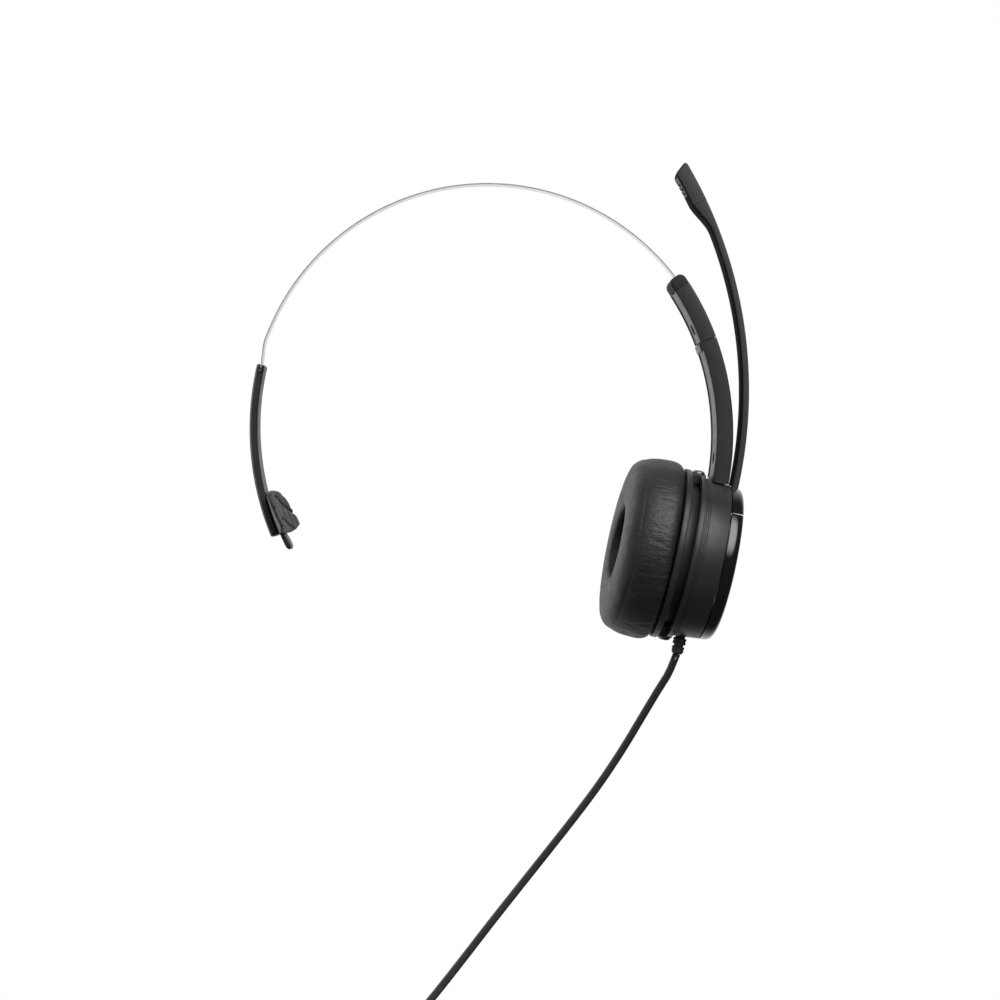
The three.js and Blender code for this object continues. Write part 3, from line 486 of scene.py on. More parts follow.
def round_section(half_y, half_z, corner, sides=40):
    """A rounded rectangle: (sign(cos v) (h - c) + c cos v, sign(sin v) (w - c) + c sin v)."""
    v = (np.arange(sides) + 0.5) * 2 * np.pi / sides
    return np.stack([
        np.sign(np.cos(v)) * (half_y - corner) + corner * np.cos(v),
        np.sign(np.sin(v)) * (half_z - corner) + corner * np.sin(v)], -1)


def prism(name, x, half_y, half_z, corner, centre):
    """Rounded rectangles carried along X, with half sizes and a corner radius for each x."""
    sections = [round_section(h, w, c) + centre for h, w, c in zip(half_y, half_z, corner)]
    rows = [np.column_stack([np.full(len(line), at), line]) for at, line in zip(x, sections)]
    return solid(name, np.array(rows))


grip_rows = 60
grip_x = np.linspace(grip_low[0], grip_high[0], grip_rows)
share = np.linspace(0, 1, grip_rows)
lead = np.clip(share / 0.3, 0, 1)
end_round = np.sqrt(np.clip(1 - np.clip((share - 0.95) / 0.05, 0, 1) ** 2, 0, 1))
start_round = np.sqrt(np.clip(1 - np.clip((0.04 - share) / 0.04, 0, 1) ** 2, 0, 1))
rib_deep, rib_reach, rib_pitch = 0.35, 0.17, 0.068
grip_ribs = rib_deep * (np.abs(share - 0.5) < rib_reach) * (
    0.5 - 0.5 * np.cos(share * 2 * np.pi / rib_pitch))
grip_half = (grip_high - grip_low) / 2
grip_taper = 0.55 + 0.45 * np.sin(lead * np.pi / 2)
end_shrink = 0.93 + 0.07 * end_round * start_round
grip = prism(
    "usb_plug_grip", grip_x, (grip_half[1] - grip_ribs) * grip_taper * end_shrink,
    (grip_half[2] - grip_ribs * 0.5) * (0.8 + 0.2 * grip_taper) * end_shrink,
    np.full(grip_rows, 2.4), np.array([plug_y, plug_z]))
finish(grip, "ear_cup", rubber, "rubber", "usb_plug_grip")

shell_steps = [0, 0, 0.15, 11.85, 12, 12, 11.8, 1.6, 1.5]
shell_shrink = np.array([3, 0.25, 0, 0, 0.15, 0.3, 0.4, 0.4, 2.2])
shell_half = (shell_high - shell_low) / 2
plug_shell = prism(
    "usb_plug_shell", shell_low[0] + np.array(shell_steps), shell_half[1] - shell_shrink,
    shell_half[2] - np.minimum(shell_shrink, shell_half[2] - 0.3),
    np.clip(0.8 - shell_shrink, 0.25, 0.8), np.array([plug_y, plug_z]))
plated = material("plated_steel", (0.62, 0.63, 0.64), 0.25, Metallic=1.0)
spread(plated, noise(plated, 700, 3, (0.15, 1, 1)), "Roughness", 0.2, 0.36)
bumps(plated, (noise(plated, 3000, 2, (0.1, 1, 1)), 0.00001, 0.4))
finish(plug_shell, "ear_cup", plated, "steel", "usb_plug_shell")

tongue_low, tongue_high = np.array(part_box("usb_plug_tongue")) * 1000
tongue_half = (tongue_high - tongue_low) / 2
plug_tongue = prism(
    "usb_plug_tongue", np.array([tongue_low[0], tongue_high[0] - 0.3, tongue_high[0]]),
    tongue_half[1] - np.array([0, 0, 0.25]), tongue_half[2] - np.array([0, 0, 0.25]),
    np.full(3, 0.2), np.array([plug_y, (tongue_low[2] + tongue_high[2]) / 2]))
dark_plastic = material("dark_plastic", (0.02, 0.02, 0.022), 0.45)
spread(dark_plastic, noise(dark_plastic, 500, 3), "Roughness", 0.4, 0.55)
finish(plug_tongue, "ear_cup", dark_plastic, "gloss_black", "usb_plug_tongue")

# ---- Drum --------------------------------------------------------------------------------------
# The fixed half of the ear cup, a shallow moulded tub of satin black plastic with a flange round
# its open side. Fine turned rings run round it, and two lugs carry the speaker pod's pins.
drum_start, drum_end = 0.3, 11.5
drum_end_wall = 9.7
drum_bore = 27.1
hub_bore = 6.1


def spun(name, outline, sides=128):
    """Turns an outline of (radius, station) pairs round the cup's axis: (r cos v, r sin v, s).
    It closes on itself, unless it starts and ends on the axis."""
    outline = np.asarray(outline, float)
    v = np.linspace(0, 2 * np.pi, sides + 1)[:-1]
    radius, station = outline[:, :1], outline[:, 1:]
    grid = in_cup(radius * np.cos(v), radius * np.sin(v), station + 0 * v)
    on_axis = outline[0, 0] < 1e-6 and outline[-1, 0] < 1e-6
    return solid(name, grid, rows_close=not on_axis)


def rings(start, pitch, count, radius, depth, half=0.12):
    """Fine turned grooves along an outline: `count` shallow V cuts at an even pitch, whose
    corners lie at s, s + half and s + 2 half, and go down and up by the depth."""
    cuts = []
    for first in start + pitch * np.arange(count):
        cuts += [
            [radius(first), first], [radius(first + half) - depth, first + half],
            [radius(first + 2 * half), first + 2 * half]]
    return cuts


def drum_side(station):
    """The drum narrows evenly from its flange to its back edge."""
    return drum_radius - 0.8 * (station - 2.2) / (drum_end - 2.2)


drum_outline = [
    [hub_bore, drum_end], [27.7, drum_end], [27.98, drum_end - 0.1], [28.1, drum_end - 0.35],
    [drum_side(5.2), 5.2],
    *reversed(rings(2.75, 0.66, 3, drum_side, 0.1)),
    [drum_side(2.4), 2.4], [29.0, 2.25], [29.5, 2.2], [29.66, 2.1], [29.7, 1.95],
    [29.7, 0.62], [29.62, 0.42], [29.45, 0.32], [29.2, drum_start],
    [27.3, drum_start], [drum_bore, 0.5], [drum_bore - 0.4, drum_end_wall],
    [hub_bore, drum_end_wall]]


def sharp_shade(piece, angle=32, bevel=0.0, segments=2):
    """Shades a piece smooth except across edges steeper than `angle` degrees, and rounds those
    edges over `bevel` millimetres."""
    piece.data.set_sharp_from_angle(angle=np.radians(angle))
    if bevel:
        rounding = piece.modifiers.new("rounded_edges", "BEVEL")
        rounding.width = bevel * 0.001
        rounding.segments = segments
        rounding.limit_method = "ANGLE"
        rounding.angle_limit = np.radians(angle)
        rounding.harden_normals = True
        rounding.use_clamp_overlap = True


def joined(piece, others, operation="UNION"):
    """Adds other closed pieces to a piece, or cuts them out of it, and removes them after."""
    for other in others:
        change = piece.modifiers.new("change", "BOOLEAN")
        change.operation = operation
        change.solver = "EXACT"
        change.object = other
    shape = bpy.data.meshes.new_from_object(
        piece.evaluated_get(bpy.context.evaluated_depsgraph_get()))
    piece.modifiers.clear()
    piece.data = shape
    for other in others:
        bpy.data.objects.remove(other)
    return piece


def cup_block(name, rise, side, station, corner=0.3):
    """A block with rounded upright edges between pairs of rises, sides and stations."""
    corners = [[rise[0], side[0]], [rise[1], side[0]], [rise[1], side[1]], [rise[0], side[1]]]
    outline = eased(corners, corner, 3)
    grid = np.array([in_cup(outline[:, 0], outline[:, 1], s) for s in station])
    return solid(name, grid)


def cup_rod(name, radius, rises, side=0.0, station=0.0, sides=32):
    """A round rod along the cup's up direction, whose radius follows the rises given."""
    v = np.linspace(0, 2 * np.pi, sides + 1)[:-1]
    rises = np.asarray(rises, float)
    radius = np.broadcast_to(np.asarray(radius, float), len(rises))[:, None]
    grid = in_cup(rises[:, None] + 0 * v, side + radius * np.cos(v), station + radius * np.sin(v))
    return solid(name, grid)


drum = spun("drum_housing", drum_outline, 160)
lug_inner, lug_outer = 26.0, 29.9
lugs = []
for way in (1, -1):
    rises = sorted([way * lug_inner, way * lug_outer])
    lugs.append(cup_block("lug", rises, [-3.0, 3.0], [-2.2, 2.4], 0.6))
joined(drum, lugs)
pin_bores = [
    cup_rod("bore", 1.35, [way * 25, way * 31], 0, 0, 24) for way in (1, -1)]
pin_bores.append(cup_rod("relief_bore", 2.0, [-31, -25], 0, relief_station, 24))
joined(drum, pin_bores, "DIFFERENCE")
sharp_shade(drum, 30)

satin = material("cup_plastic", (0.02, 0.0205, 0.022), 0.42, Specular_IOR_Level=0.42)
spread(satin, noise(satin, 350, 4), "Roughness", 0.33, 0.44)
spread(satin, noise(satin, 90, 3), "Base Color", (0.0175, 0.018, 0.0195), (0.022, 0.023, 0.0245))
bumps(satin, (noise(satin, 6500, 2), 0.00002, 0.5), (noise(satin, 60, 2), 0.0002, 0.05))
finish(drum, "ear_cup", satin, "cup_plastic", "drum_housing")

pin_steel = material("pin_steel", (0.32, 0.32, 0.33), 0.42, Metallic=1.0)
spread(pin_steel, noise(pin_steel, 900, 3), "Roughness", 0.38, 0.5)
for name, way in (("swivel_pin_top", 1), ("swivel_pin_bottom", -1)):
    pin = cup_rod(
        name, [1.0, 1.2, 1.2, 2.3, 2.3, 2.15, 1.7, 0.9],
        way * np.array([24.0, 24.3, 29.85, 29.87, 30.2, 30.6, 30.95, 31.15]), 0, -0.1)
    sharp_shade(pin, 50)
    finish(pin, "ear_cup", pin_steel, "steel", name)

# ---- Telescoping arm ---------------------------------------------------------------------------
# A moulded channel, 17 mm wide, that is one with the drum's back. A flat cover closes its inner
# side, held by one steel screw, with a raised tab that the sleeve's edge meets.
arm_radius, arm_thick, arm_wall, arm_width = 99.0, 6.0, 1.3, 17.0
cover_thick = 1.4
arm_inner = arm_radius - arm_thick
slider = joints["size_slider"]["pos_m"]
arm_centre = np.array([slider[0], 0, slider[2]]) * 1000


def bent(name, centre, degrees, section):
    """Carries a section of (radius, side) pairs round a centre in the X-Z plane:
    (cx + r cos a, y, cz + r sin a). The section may be a function of the angle."""
    grid = []
    for turn in degrees:
        line = section(turn) if callable(section) else section
        a = np.radians(turn)
        grid.append(np.stack([
            centre[0] + line[:, 0] * np.cos(a), line[:, 1],
            centre[2] + line[:, 0] * np.sin(a)], -1))
    return solid(name, np.array(grid))


def slab(inner, outer, width, corner=0.25, steps=3):
    """A rounded rectangle between two radii, centred on side 0."""
    half = width / 2
    return eased([[inner, -half], [outer, -half], [outer, half], [inner, half]], corner, steps)


def channel_section(width, inner, outer, wall, ease):
    """A U that opens inwards, with its outer corners rounded."""
    half = width / 2
    deep = outer - wall
    return eased(
        [[inner, -half], [outer, -half], [outer, half], [inner, half], [inner, half - wall],
         [deep, half - wall], [deep, wall - half], [inner, wall - half]],
        [0.42, ease, ease, 0.42, 0.12, 0.3, 0.3, 0.12], 4)


def radial_rod(name, centre, turn, reach, radius, side=0.0, sides=32):
    """A round rod pointing away from a centre at an angle, whose radius follows `reach`."""
    v = np.linspace(0, 2 * np.pi, sides + 1)[:-1]
    reach = np.asarray(reach, float)[:, None]
    radius = np.broadcast_to(np.asarray(radius, float), len(reach))[:, None]
    a = np.radians(turn)
    across = radius * np.cos(v)
    grid = np.stack([
        centre[0] + reach * np.cos(a) - across * np.sin(a), side + radius * np.sin(v) + 0 * reach,
        centre[2] + reach * np.sin(a) + across * np.cos(a)], -1)
    return solid(name, grid)


arm_section = channel_section(arm_width, arm_inner, arm_radius, arm_wall, 0.9)
arm_shell = bent("arm_outer_shell", arm_centre, np.linspace(-9.6, 20.12, 60), arm_section)
arm_foot = bent(
    "foot", arm_centre, np.linspace(-14.2, -9.4, 14),
    slab(arm_inner, arm_radius, arm_width, 0.9, 4))
foot_fit = drum_radius + 0.3
drum_core = spun("core", [[0, -20], [foot_fit, -20], [foot_fit, 12.4], [0, 12.4]])
joined(arm_foot, [drum_core], "DIFFERENCE")
joined(arm_shell, [arm_foot])
arm_screw_angle = -5.4
joined(arm_shell, [radial_rod("boss", arm_centre, arm_screw_angle, [94.7, 97.9], 2.5)])
joined(arm_shell, [
    radial_rod("bore", arm_centre, arm_screw_angle, [90, 97.5], 1.3)], "DIFFERENCE")
sharp_shade(arm_shell, 30, 0.12)
finish(arm_shell, "ear_cup", satin, "cup_plastic", "arm_outer_shell")

inner_plastic = material("inner_plastic", (0.034, 0.035, 0.038), 0.34, Specular_IOR_Level=0.6)
spread(inner_plastic, noise(inner_plastic, 300, 4), "Roughness", 0.28, 0.42)
bumps(inner_plastic, (noise(inner_plastic, 5000, 2), 0.00002, 0.5))
cover_width = arm_width - 2 * arm_wall - 0.6
cover_sunk = 0.3
arm_cover = bent(
    "arm_inner_cover", arm_centre, np.linspace(-9.3, 20.0, 60),
    slab(arm_inner + cover_sunk, arm_inner + cover_thick, cover_width, 0.2))
guide_tab = bent(
    "tab", arm_centre, np.linspace(18.35, 20.0, 6),
    slab(arm_inner - 0.55, arm_inner + 0.6, cover_width - 0.6, 0.3))
joined(arm_cover, [guide_tab])
joined(arm_cover, [
    radial_rod("seat", arm_centre, arm_screw_angle, [90, arm_inner + 1.15], 2.2),
    radial_rod("bore", arm_centre, arm_screw_angle, [90, 97], 1.3)], "DIFFERENCE")
sharp_shade(arm_cover, 30, 0.12)
finish(arm_cover, "ear_cup", inner_plastic, "cup_plastic", "arm_inner_cover")


def cross_screw(name, turn):
    """A pan-head screw pointing outwards at an angle of the arm, with a cross cut in its head."""
    head = arm_inner + 0.6
    cross_half, cross_wide, cross_deep = 1.2, 0.22, 0.35
    body = radial_rod(
        name, arm_centre, turn, [head, head + 0.06, head + 0.25, head + 0.55, head + 0.55, 97.2],
        [1.3, 1.6, 1.9, 1.9, 1.0, 1.0])
    a = np.radians(turn)
    out, up = np.array([np.cos(a), 0, np.sin(a)]), np.array([-np.sin(a), 0, np.cos(a)])
    cuts = []
    for first, second in ((up, sideways), (sideways, up)):
        corner = np.array([[-1, -1], [1, -1], [1, 1], [-1, 1]]) * [cross_half, cross_wide]
        flat = corner[:, :1] * first + corner[:, 1:] * second
        depths = np.array([-1.0, cross_deep])[:, None, None] + head
        cuts.append(solid("cut", arm_centre + flat[None] + depths * out))
    joined(body, cuts, "DIFFERENCE")
    sharp_shade(body, 30)
    return body


black_steel = material("black_steel", (0.03, 0.03, 0.032), 0.4, Metallic=1.0)
spread(black_steel, noise(black_steel, 900, 3), "Roughness", 0.34, 0.5)
finish(cross_screw("arm_screw", arm_screw_angle), "ear_cup", black_steel, "steel", "arm_screw")

# ---- Sleeve and slider -------------------------------------------------------------------------
# The band's end carries a matching channel with its own cover and screw, a flat tongue that
# slides down inside the arm, and a domed cap with the slot that the steel strip comes out of.
sleeve_foot, sleeve_top, cap_top = 20.28, 32.75, 35.4
sleeve_shell = bent(
    "sleeve_shell", arm_centre, np.linspace(sleeve_foot, sleeve_top, 30), arm_section)
sleeve_screw_angle = 23.6
joined(sleeve_shell, [radial_rod("boss", arm_centre, sleeve_screw_angle, [96.55, 97.9], 2.5)])
joined(sleeve_shell, [
    radial_rod("bore", arm_centre, sleeve_screw_angle, [90, 97.5], 1.3)], "DIFFERENCE")
sharp_shade(sleeve_shell, 30, 0.12)
finish(sleeve_shell, "headband", satin, "cup_plastic", "sleeve_shell")
sleeve_cover = bent(
    "sleeve_cover", arm_centre, np.linspace(20.4, 32.6, 30),
    slab(arm_inner + cover_sunk, arm_inner + cover_thick, cover_width, 0.2))
joined(sleeve_cover, [
    radial_rod("seat", arm_centre, sleeve_screw_angle, [90, arm_inner + 1.15], 2.2),
    radial_rod("bore", arm_centre, sleeve_screw_angle, [90, 97], 1.3)], "DIFFERENCE")
sharp_shade(sleeve_cover, 30, 0.12)
finish(sleeve_cover, "headband", inner_plastic, "cup_plastic", "sleeve_cover")
sleeve_screw = cross_screw("sleeve_screw", sleeve_screw_angle)
finish(sleeve_screw, "headband", black_steel, "steel", "sleeve_screw")

slider_tongue = bent(
    "slider_tongue", arm_centre, np.linspace(-3, 30.5, 60), slab(95.0, 96.2, 10, 0.25))
notches = [
    radial_rod("notch", arm_centre, turn, [94, 97], 0.5, 3.6, 16) for turn in range(0, 18, 2)]
joined(slider_tongue, notches + [
    radial_rod("hole", arm_centre, sleeve_screw_angle, [94, 97], 1.3)], "DIFFERENCE")
sharp_shade(slider_tongue, 30)
finish(slider_tongue, "headband", inner_plastic, "cup_plastic", "slider_tongue")


dome_turn = 1.45


def cap_section(turn):
    """The cap's rounded section draws in towards its top: each half size shrinks with the
    quarter ellipse sqrt(1 - u^2) of the share u of the dome that is passed."""
    passed = np.clip((turn - (cap_top - dome_turn)) / dome_turn, 0, 1)
    inset = 1.0 - np.sqrt(1 - passed ** 2)
    middle = arm_radius - arm_thick / 2
    half_thick, half_wide = arm_thick / 2 - 1.9 * inset, arm_width / 2 - 2.0 * inset
    return slab(middle - half_thick, middle + half_thick, 2 * half_wide, 1.3, 5)


dome_rise = np.sin(np.linspace(0.1, np.pi / 2, 12))
cap_turns = np.concatenate([
    [32.8, 32.86], np.linspace(33.1, 33.9, 5), cap_top - dome_turn * (1 - dome_rise)])
sleeve_cap = bent("sleeve_cap", arm_centre, cap_turns, cap_section)
strip_radius, strip_thick, strip_width = 84.6, 0.5, 5.0
slot_half, slot_width = 0.65, 5.6
cap_slot = bent(
    "slot", (0, 0, 0), np.linspace(29.5, 42, 8),
    slab(strip_radius - slot_half, strip_radius + slot_half, slot_width, 0.2))
joined(sleeve_cap, [cap_slot], "DIFFERENCE")
sharp_shade(sleeve_cap, 34, 0.1)
cap_black = material("cap_black", (0.02, 0.0205, 0.0215), 0.66, Specular_IOR_Level=0.2)
spread(cap_black, noise(cap_black, 350, 4), "Roughness", 0.6, 0.72)
bumps(cap_black, (noise(cap_black, 6500, 2), 0.00002, 0.5))
finish(sleeve_cap, "headband", cap_black, "cup_plastic", "sleeve_cap")

# ---- Band strip --------------------------------------------------------------------------------
# A flat strip of spring steel, 5 mm wide and half a millimetre thick, rolled to a half circle.
# Its polished faces carry the lengthwise lines of the rolling.
temple_radius, temple_thick = 99.4, 2.9
temple_top, temple_foot = 167.9, 203.3
temple_middle = temple_radius - temple_thick / 2


def way_out(degrees):
    """The direction at an angle in the X-Z plane: (cos a, 0, sin a)."""
    a = np.radians(degrees)
    return np.array([np.cos(a), 0, np.sin(a)])


temple_seat = strip_radius * way_out(167.2) + [1.1, 0, -1.1]
temple_centre = temple_seat - temple_middle * way_out(temple_top)
arc = np.radians(np.arange(29, 161.5, 4))
held = np.radians(np.linspace(temple_top - 0.9, temple_top + 8, 4))
strip_route = np.vstack([
    strip_radius * np.stack([np.cos(arc), np.sin(arc)], -1),
    temple_centre[[0, 2]] + temple_middle * np.stack([np.cos(held), np.sin(held)], -1)])
strip_line = smooth_path(strip_route, 1.0)
strip_ahead = np.gradient(strip_line, axis=0)
strip_ahead /= np.linalg.norm(strip_ahead, axis=1, keepdims=True)
strip_out = np.stack([strip_ahead[:, 1], -strip_ahead[:, 0]], -1)
strip_section = slab(-strip_thick / 2, strip_thick / 2, strip_width, 0.18, 4)
strip_grid = np.stack([
    strip_line[:, :1] + strip_out[:, :1] * strip_section[:, 0],
    np.broadcast_to(strip_section[:, 1], (len(strip_line), len(strip_section))),
    strip_line[:, 1:] + strip_out[:, 1:] * strip_section[:, 0]], -1)
band_strip = solid("band_strip", strip_grid)
sharp_shade(band_strip, 40)
spring_steel = material("spring_steel", (0.86, 0.86, 0.87), 0.2, Metallic=1.0)
spread(spring_steel, noise(spring_steel, 3000, 3, (1, 0.01, 1), "UV"), "Roughness", 0.22, 0.3)
finish(band_strip, "headband", spring_steel, "band_steel", "band_strip")
# Painted reflection: the strip's narrow sheared edges, the faces that point along Y, get a flat
# grey in place of steel, standing in for the light their steel reflects.
edge_painted_reflection = material("edge_painted_reflection", (0.32, 0.32, 0.325), 0.5)
spread(edge_painted_reflection, noise(edge_painted_reflection, 900, 3), "Roughness", 0.42, 0.58)


def of_faces(piece, measure):
    """A vector of each face of a piece, its "normal" or its "center", as rows of three."""
    values = np.empty(len(piece.data.polygons) * 3)
    piece.data.polygons.foreach_get(measure, values)
    return values.reshape(-1, 3)


def second_finish(piece, made, chosen):
    """Gives a second material to the chosen faces of a finished piece."""
    piece.data.materials.append(made)
    piece.data.polygons.foreach_set("material_index", chosen.astype(np.int32))


edge_slope = 0.3
second_finish(band_strip, edge_painted_reflection, np.abs(of_faces(band_strip, "normal")[:, 1]) > edge_slope)

# ---- Temple arm --------------------------------------------------------------------------------
# A moulded arm, riveted on the free end of the strip by two short pins. It starts as two prongs
# with the strip between them, and widens down to the pad's seat.
temple_inner = temple_radius - temple_thick
prong_top = temple_top - 1.2


def temple_section(turn):
    """A bevelled slab whose width grows with the square of the share of the arm passed, and
    whose corners draw in at the two ends."""
    share = (turn - temple_top) / (temple_foot - temple_top)
    near_end = np.clip(1 - np.minimum(turn - prong_top, temple_foot - turn) / 0.35, 0, 1)
    inset = 0.45 * near_end ** 2
    width = 8 + 5.5 * share ** 2 - 2 * inset
    return slab(temple_inner + inset, temple_radius - inset, width, 0.62, 1)


temple_turns = np.concatenate([
    prong_top + np.array([0, 0.1, 0.25]), np.linspace(prong_top + 0.5, temple_foot - 0.5, 60),
    temple_foot - np.array([0.25, 0.1, 0])])
temple_arm = bent("temple_arm", temple_centre, temple_turns, temple_section)
pin_place = temple_centre + temple_middle * way_out(temple_top + 0.2)


def cross_rod(name, centre, radius, sides_y):
    """A round rod along Y through a place, whose radius follows its Y positions."""
    v = np.linspace(0, 2 * np.pi, 33)[:-1]
    y = np.asarray(sides_y, float)[:, None]
    radius = np.broadcast_to(np.asarray(radius, float), len(y))[:, None]
    return solid(name, np.stack([
        centre[0] + radius * np.cos(v), y + 0 * v, centre[2] + radius * np.sin(v)], -1))


joined(temple_arm, [
    bent("slot", temple_centre, np.linspace(prong_top - 1, temple_top + 9, 12),
         slab(temple_middle - 0.55, temple_middle + 0.55, 5.6, 0.1)),
    bent("slit", temple_centre, np.linspace(prong_top - 1, temple_top - 0.55, 4),
         slab(temple_middle - 0.5, temple_middle + 0.5, 12, 0.1)),
    cross_rod("bore", pin_place, 0.95, [-5, 5])], "DIFFERENCE")
sharp_shade(temple_arm, 24)
finish(temple_arm, "headband", satin, "cup_plastic", "temple_arm")
# Painted highlight: the bevel faces on the arm's outer side get a lighter grey, standing in for
# the light strip that runs down that edge.
bevel_painted_highlight = material("bevel_painted_highlight", (0.15, 0.152, 0.156), 0.3)
spread(bevel_painted_highlight, noise(bevel_painted_highlight, 350, 3), "Roughness", 0.26, 0.38)
steep = np.abs(of_faces(temple_arm, "normal")[:, 1])
bevelled = (steep > 0.5) & (steep < 0.87)
away = of_faces(temple_arm, "center") * 1000 - temple_centre
outer = np.hypot(away[:, 0], away[:, 2]) > temple_middle
second_finish(temple_arm, bevel_painted_highlight, bevelled & outer)
for name, way in (("band_pin_front", -1), ("band_pin_back", 1)):
    pin = cross_rod(
        name, pin_place, [0.75, 0.75, 0.7, 0.5], way * np.array([2.7, 3.85, 3.95, 4.0]))
    sharp_shade(pin, 40)
    finish(pin, "headband", inner_plastic, "steel", name)

# ---- Temple pad --------------------------------------------------------------------------------
# A crescent-shaped rubber pad, curled round the temple and quilted in diamonds on its inner face.
# It is bonded on a thin plastic carrier, whose spine runs down behind it to a thick rounded end.
pad_half, pad_curl, pad_turn = 24.0, 80.0, 200.2
pad_in = -way_out(pad_turn)
pad_up = np.array([-pad_in[2], 0, pad_in[0]])
pad_seat = temple_centre - (temple_inner - 0.25) * pad_in


def pad_grid(back, face, margin=0.0, round_off=1.1, rows=221, columns=71):
    """A crescent plate: across y its foot is at -5.7 + 2.2 (y/L)^4 and its top is at
    -3.5 + 13.9 (1 - (y/L)^3.2)^0.7. Back and face are depths, as functions of y and the
    height v. Its rim is rounded by sqrt(1 - (1 - d/R)^2) of the distance d to the outline, and
    the whole is curled by C - sqrt(C^2 - y^2) and by v^2 / 2R along the arm."""
    y = (pad_half - margin) * np.sin(np.linspace(-np.pi / 2, np.pi / 2, rows))[:, None]
    share = np.abs(y) / (pad_half - margin)
    high = -3.5 + (13.9 - margin) * (1 - share ** 3.2) ** 0.7
    low = -5.7 + margin + (2.2 - margin) * share ** 4
    w = np.sin(np.linspace(-np.pi / 2, np.pi / 2, columns))[None, :]
    v = (high + low) / 2 + w * (high - low) / 2
    rim = np.minimum((high - low) / 2 * (1 - np.abs(w)), (pad_half - margin - np.abs(y)) * 0.6)
    swell = np.sqrt(np.clip(1 - (1 - np.clip(rim / round_off, 0, 1)) ** 2, 0, 1))
    low_face, high_face = back(y, v), face(y, v)
    middle = (low_face + high_face) / 2
    front = middle + (high_face - middle) * swell
    rear = middle + (low_face - middle) * swell
    bend = pad_curl - np.sqrt(pad_curl ** 2 - y ** 2) + v ** 2 / (2 * temple_radius)
    ring = [np.concatenate([a, b[:, -2:0:-1]], 1) for a, b in (
        (front + bend, rear + bend), (v, v), (y + 0 * v, y + 0 * v))]
    return (pad_seat + ring[0][..., None] * pad_in + ring[1][..., None] * pad_up
            + ring[2][..., None] * sideways)


def taper(y, middle, end):
    """A thickness that falls with the square of y from the middle to the tips."""
    return middle + (end - middle) * (y / pad_half) ** 2


def quilt(y, v):
    """Grooves exp(-(d/w)^2) deep, d being the distance to upright lines and to two families of
    slanting lines v + 0.33 |y| = 8.3 k, with a low crown in the middle of each diamond."""
    lean, pitch = 0.33, 8.3
    upright = np.min([np.abs(np.abs(y) - at) for at in (6.0, 14.0, 20.5)], axis=0) + 0 * v
    slanted = np.abs((v + lean * np.abs(y) + pitch / 2) % pitch - pitch / 2) * 0.95
    nearest = np.minimum(upright, slanted)
    crown = np.clip(nearest / 3.0, 0, 1)
    dots = 0.035 * np.sin(y * 2 * np.pi / 0.9) * np.sin(v * 2 * np.pi / 0.9)
    deep, wide = 0.85, 0.46
    return -deep * np.exp(-(nearest / wide) ** 2) + 0.3 * crown * (2 - crown) + dots * crown


pad_back = 1.0
pad_rubber = solid("pad_rubber", pad_grid(
    lambda y, v: taper(y, pad_back, 0.45) + 0 * v,
    lambda y, v: taper(y, 2.45, 1.0) + quilt(y, v) * taper(y, 1, 0.8)))
# Painted shade: a per-point weight, kept in the groove attribute, darkens the base colour towards
# the bottom of each quilt groove.
where = np.empty(len(pad_rubber.data.vertices) * 3)
pad_rubber.data.vertices.foreach_get("co", where)
where = where.reshape(-1, 3) * 1000 - pad_seat
groove_painted_shade = pad_rubber.data.attributes.new("groove", "FLOAT", "POINT")
groove_painted_shade.data.foreach_set(
    "value", np.clip(1 + quilt(where[:, 1], where @ pad_up) * 2.2, 0, 1).astype(np.float32))
soft_rubber = material("pad_rubber", (0.04, 0.04, 0.042), 0.62)
groove_shade_reader = soft_rubber.node_tree.nodes.new("ShaderNodeAttribute")
groove_shade_reader.attribute_name = "groove"
spread(soft_rubber, noise(soft_rubber, 500, 3), "Roughness", 0.5, 0.66)
# Painted shade in the grooves: darkest where the weight is lowest.
spread(
    soft_rubber, groove_shade_reader.outputs["Fac"], "Base Color",
    (0.004, 0.004, 0.004), (0.045, 0.045, 0.047), 0.1, 0.9)
bumps(soft_rubber, (noise(soft_rubber, 6000, 2), 0.00003, 0.6))
finish(pad_rubber, "headband", soft_rubber, "pad_rubber", "pad_rubber")

pad_carrier = solid("pad_carrier", pad_grid(
    lambda y, v: 0 * y * v, lambda y, v: taper(y, pad_back - 0.03, 0.43) + 0 * v,
    0.5, 0.5, 121, 41))


def spine_section(turn):
    """A rounded bar that thickens below the pad, and rounds off at both of its ends."""
    thick = 1.2 + 0.7 * np.clip((turn - 202.0) / 3.0, 0, 1)
    end = np.clip((turn - 206.1) / 1.1, 0, 1)
    start = np.clip((195.0 - turn) / 1.0, 0, 1)
    shrink = np.sqrt(1 - 0.98 * max(end, start) ** 2)
    inner, outer = 96.45 - thick, 96.45
    middle = (inner + outer) / 2
    return slab(
        middle - thick / 2 * shrink, middle + thick / 2 * shrink, 8 - 3 * (1 - shrink), 0.5, 4)


spine = bent("spine", temple_centre, np.concatenate([
    194 + np.sin(np.linspace(0, np.pi / 2, 6)), np.linspace(195.5, 205.8, 14),
    206.1 + 1.1 * np.sin(np.linspace(0, np.pi / 2, 9))]), spine_section)
joined(pad_carrier, [spine])
sharp_shade(pad_carrier, 40)
finish(pad_carrier, "headband", satin, "cup_plastic", "pad_carrier")

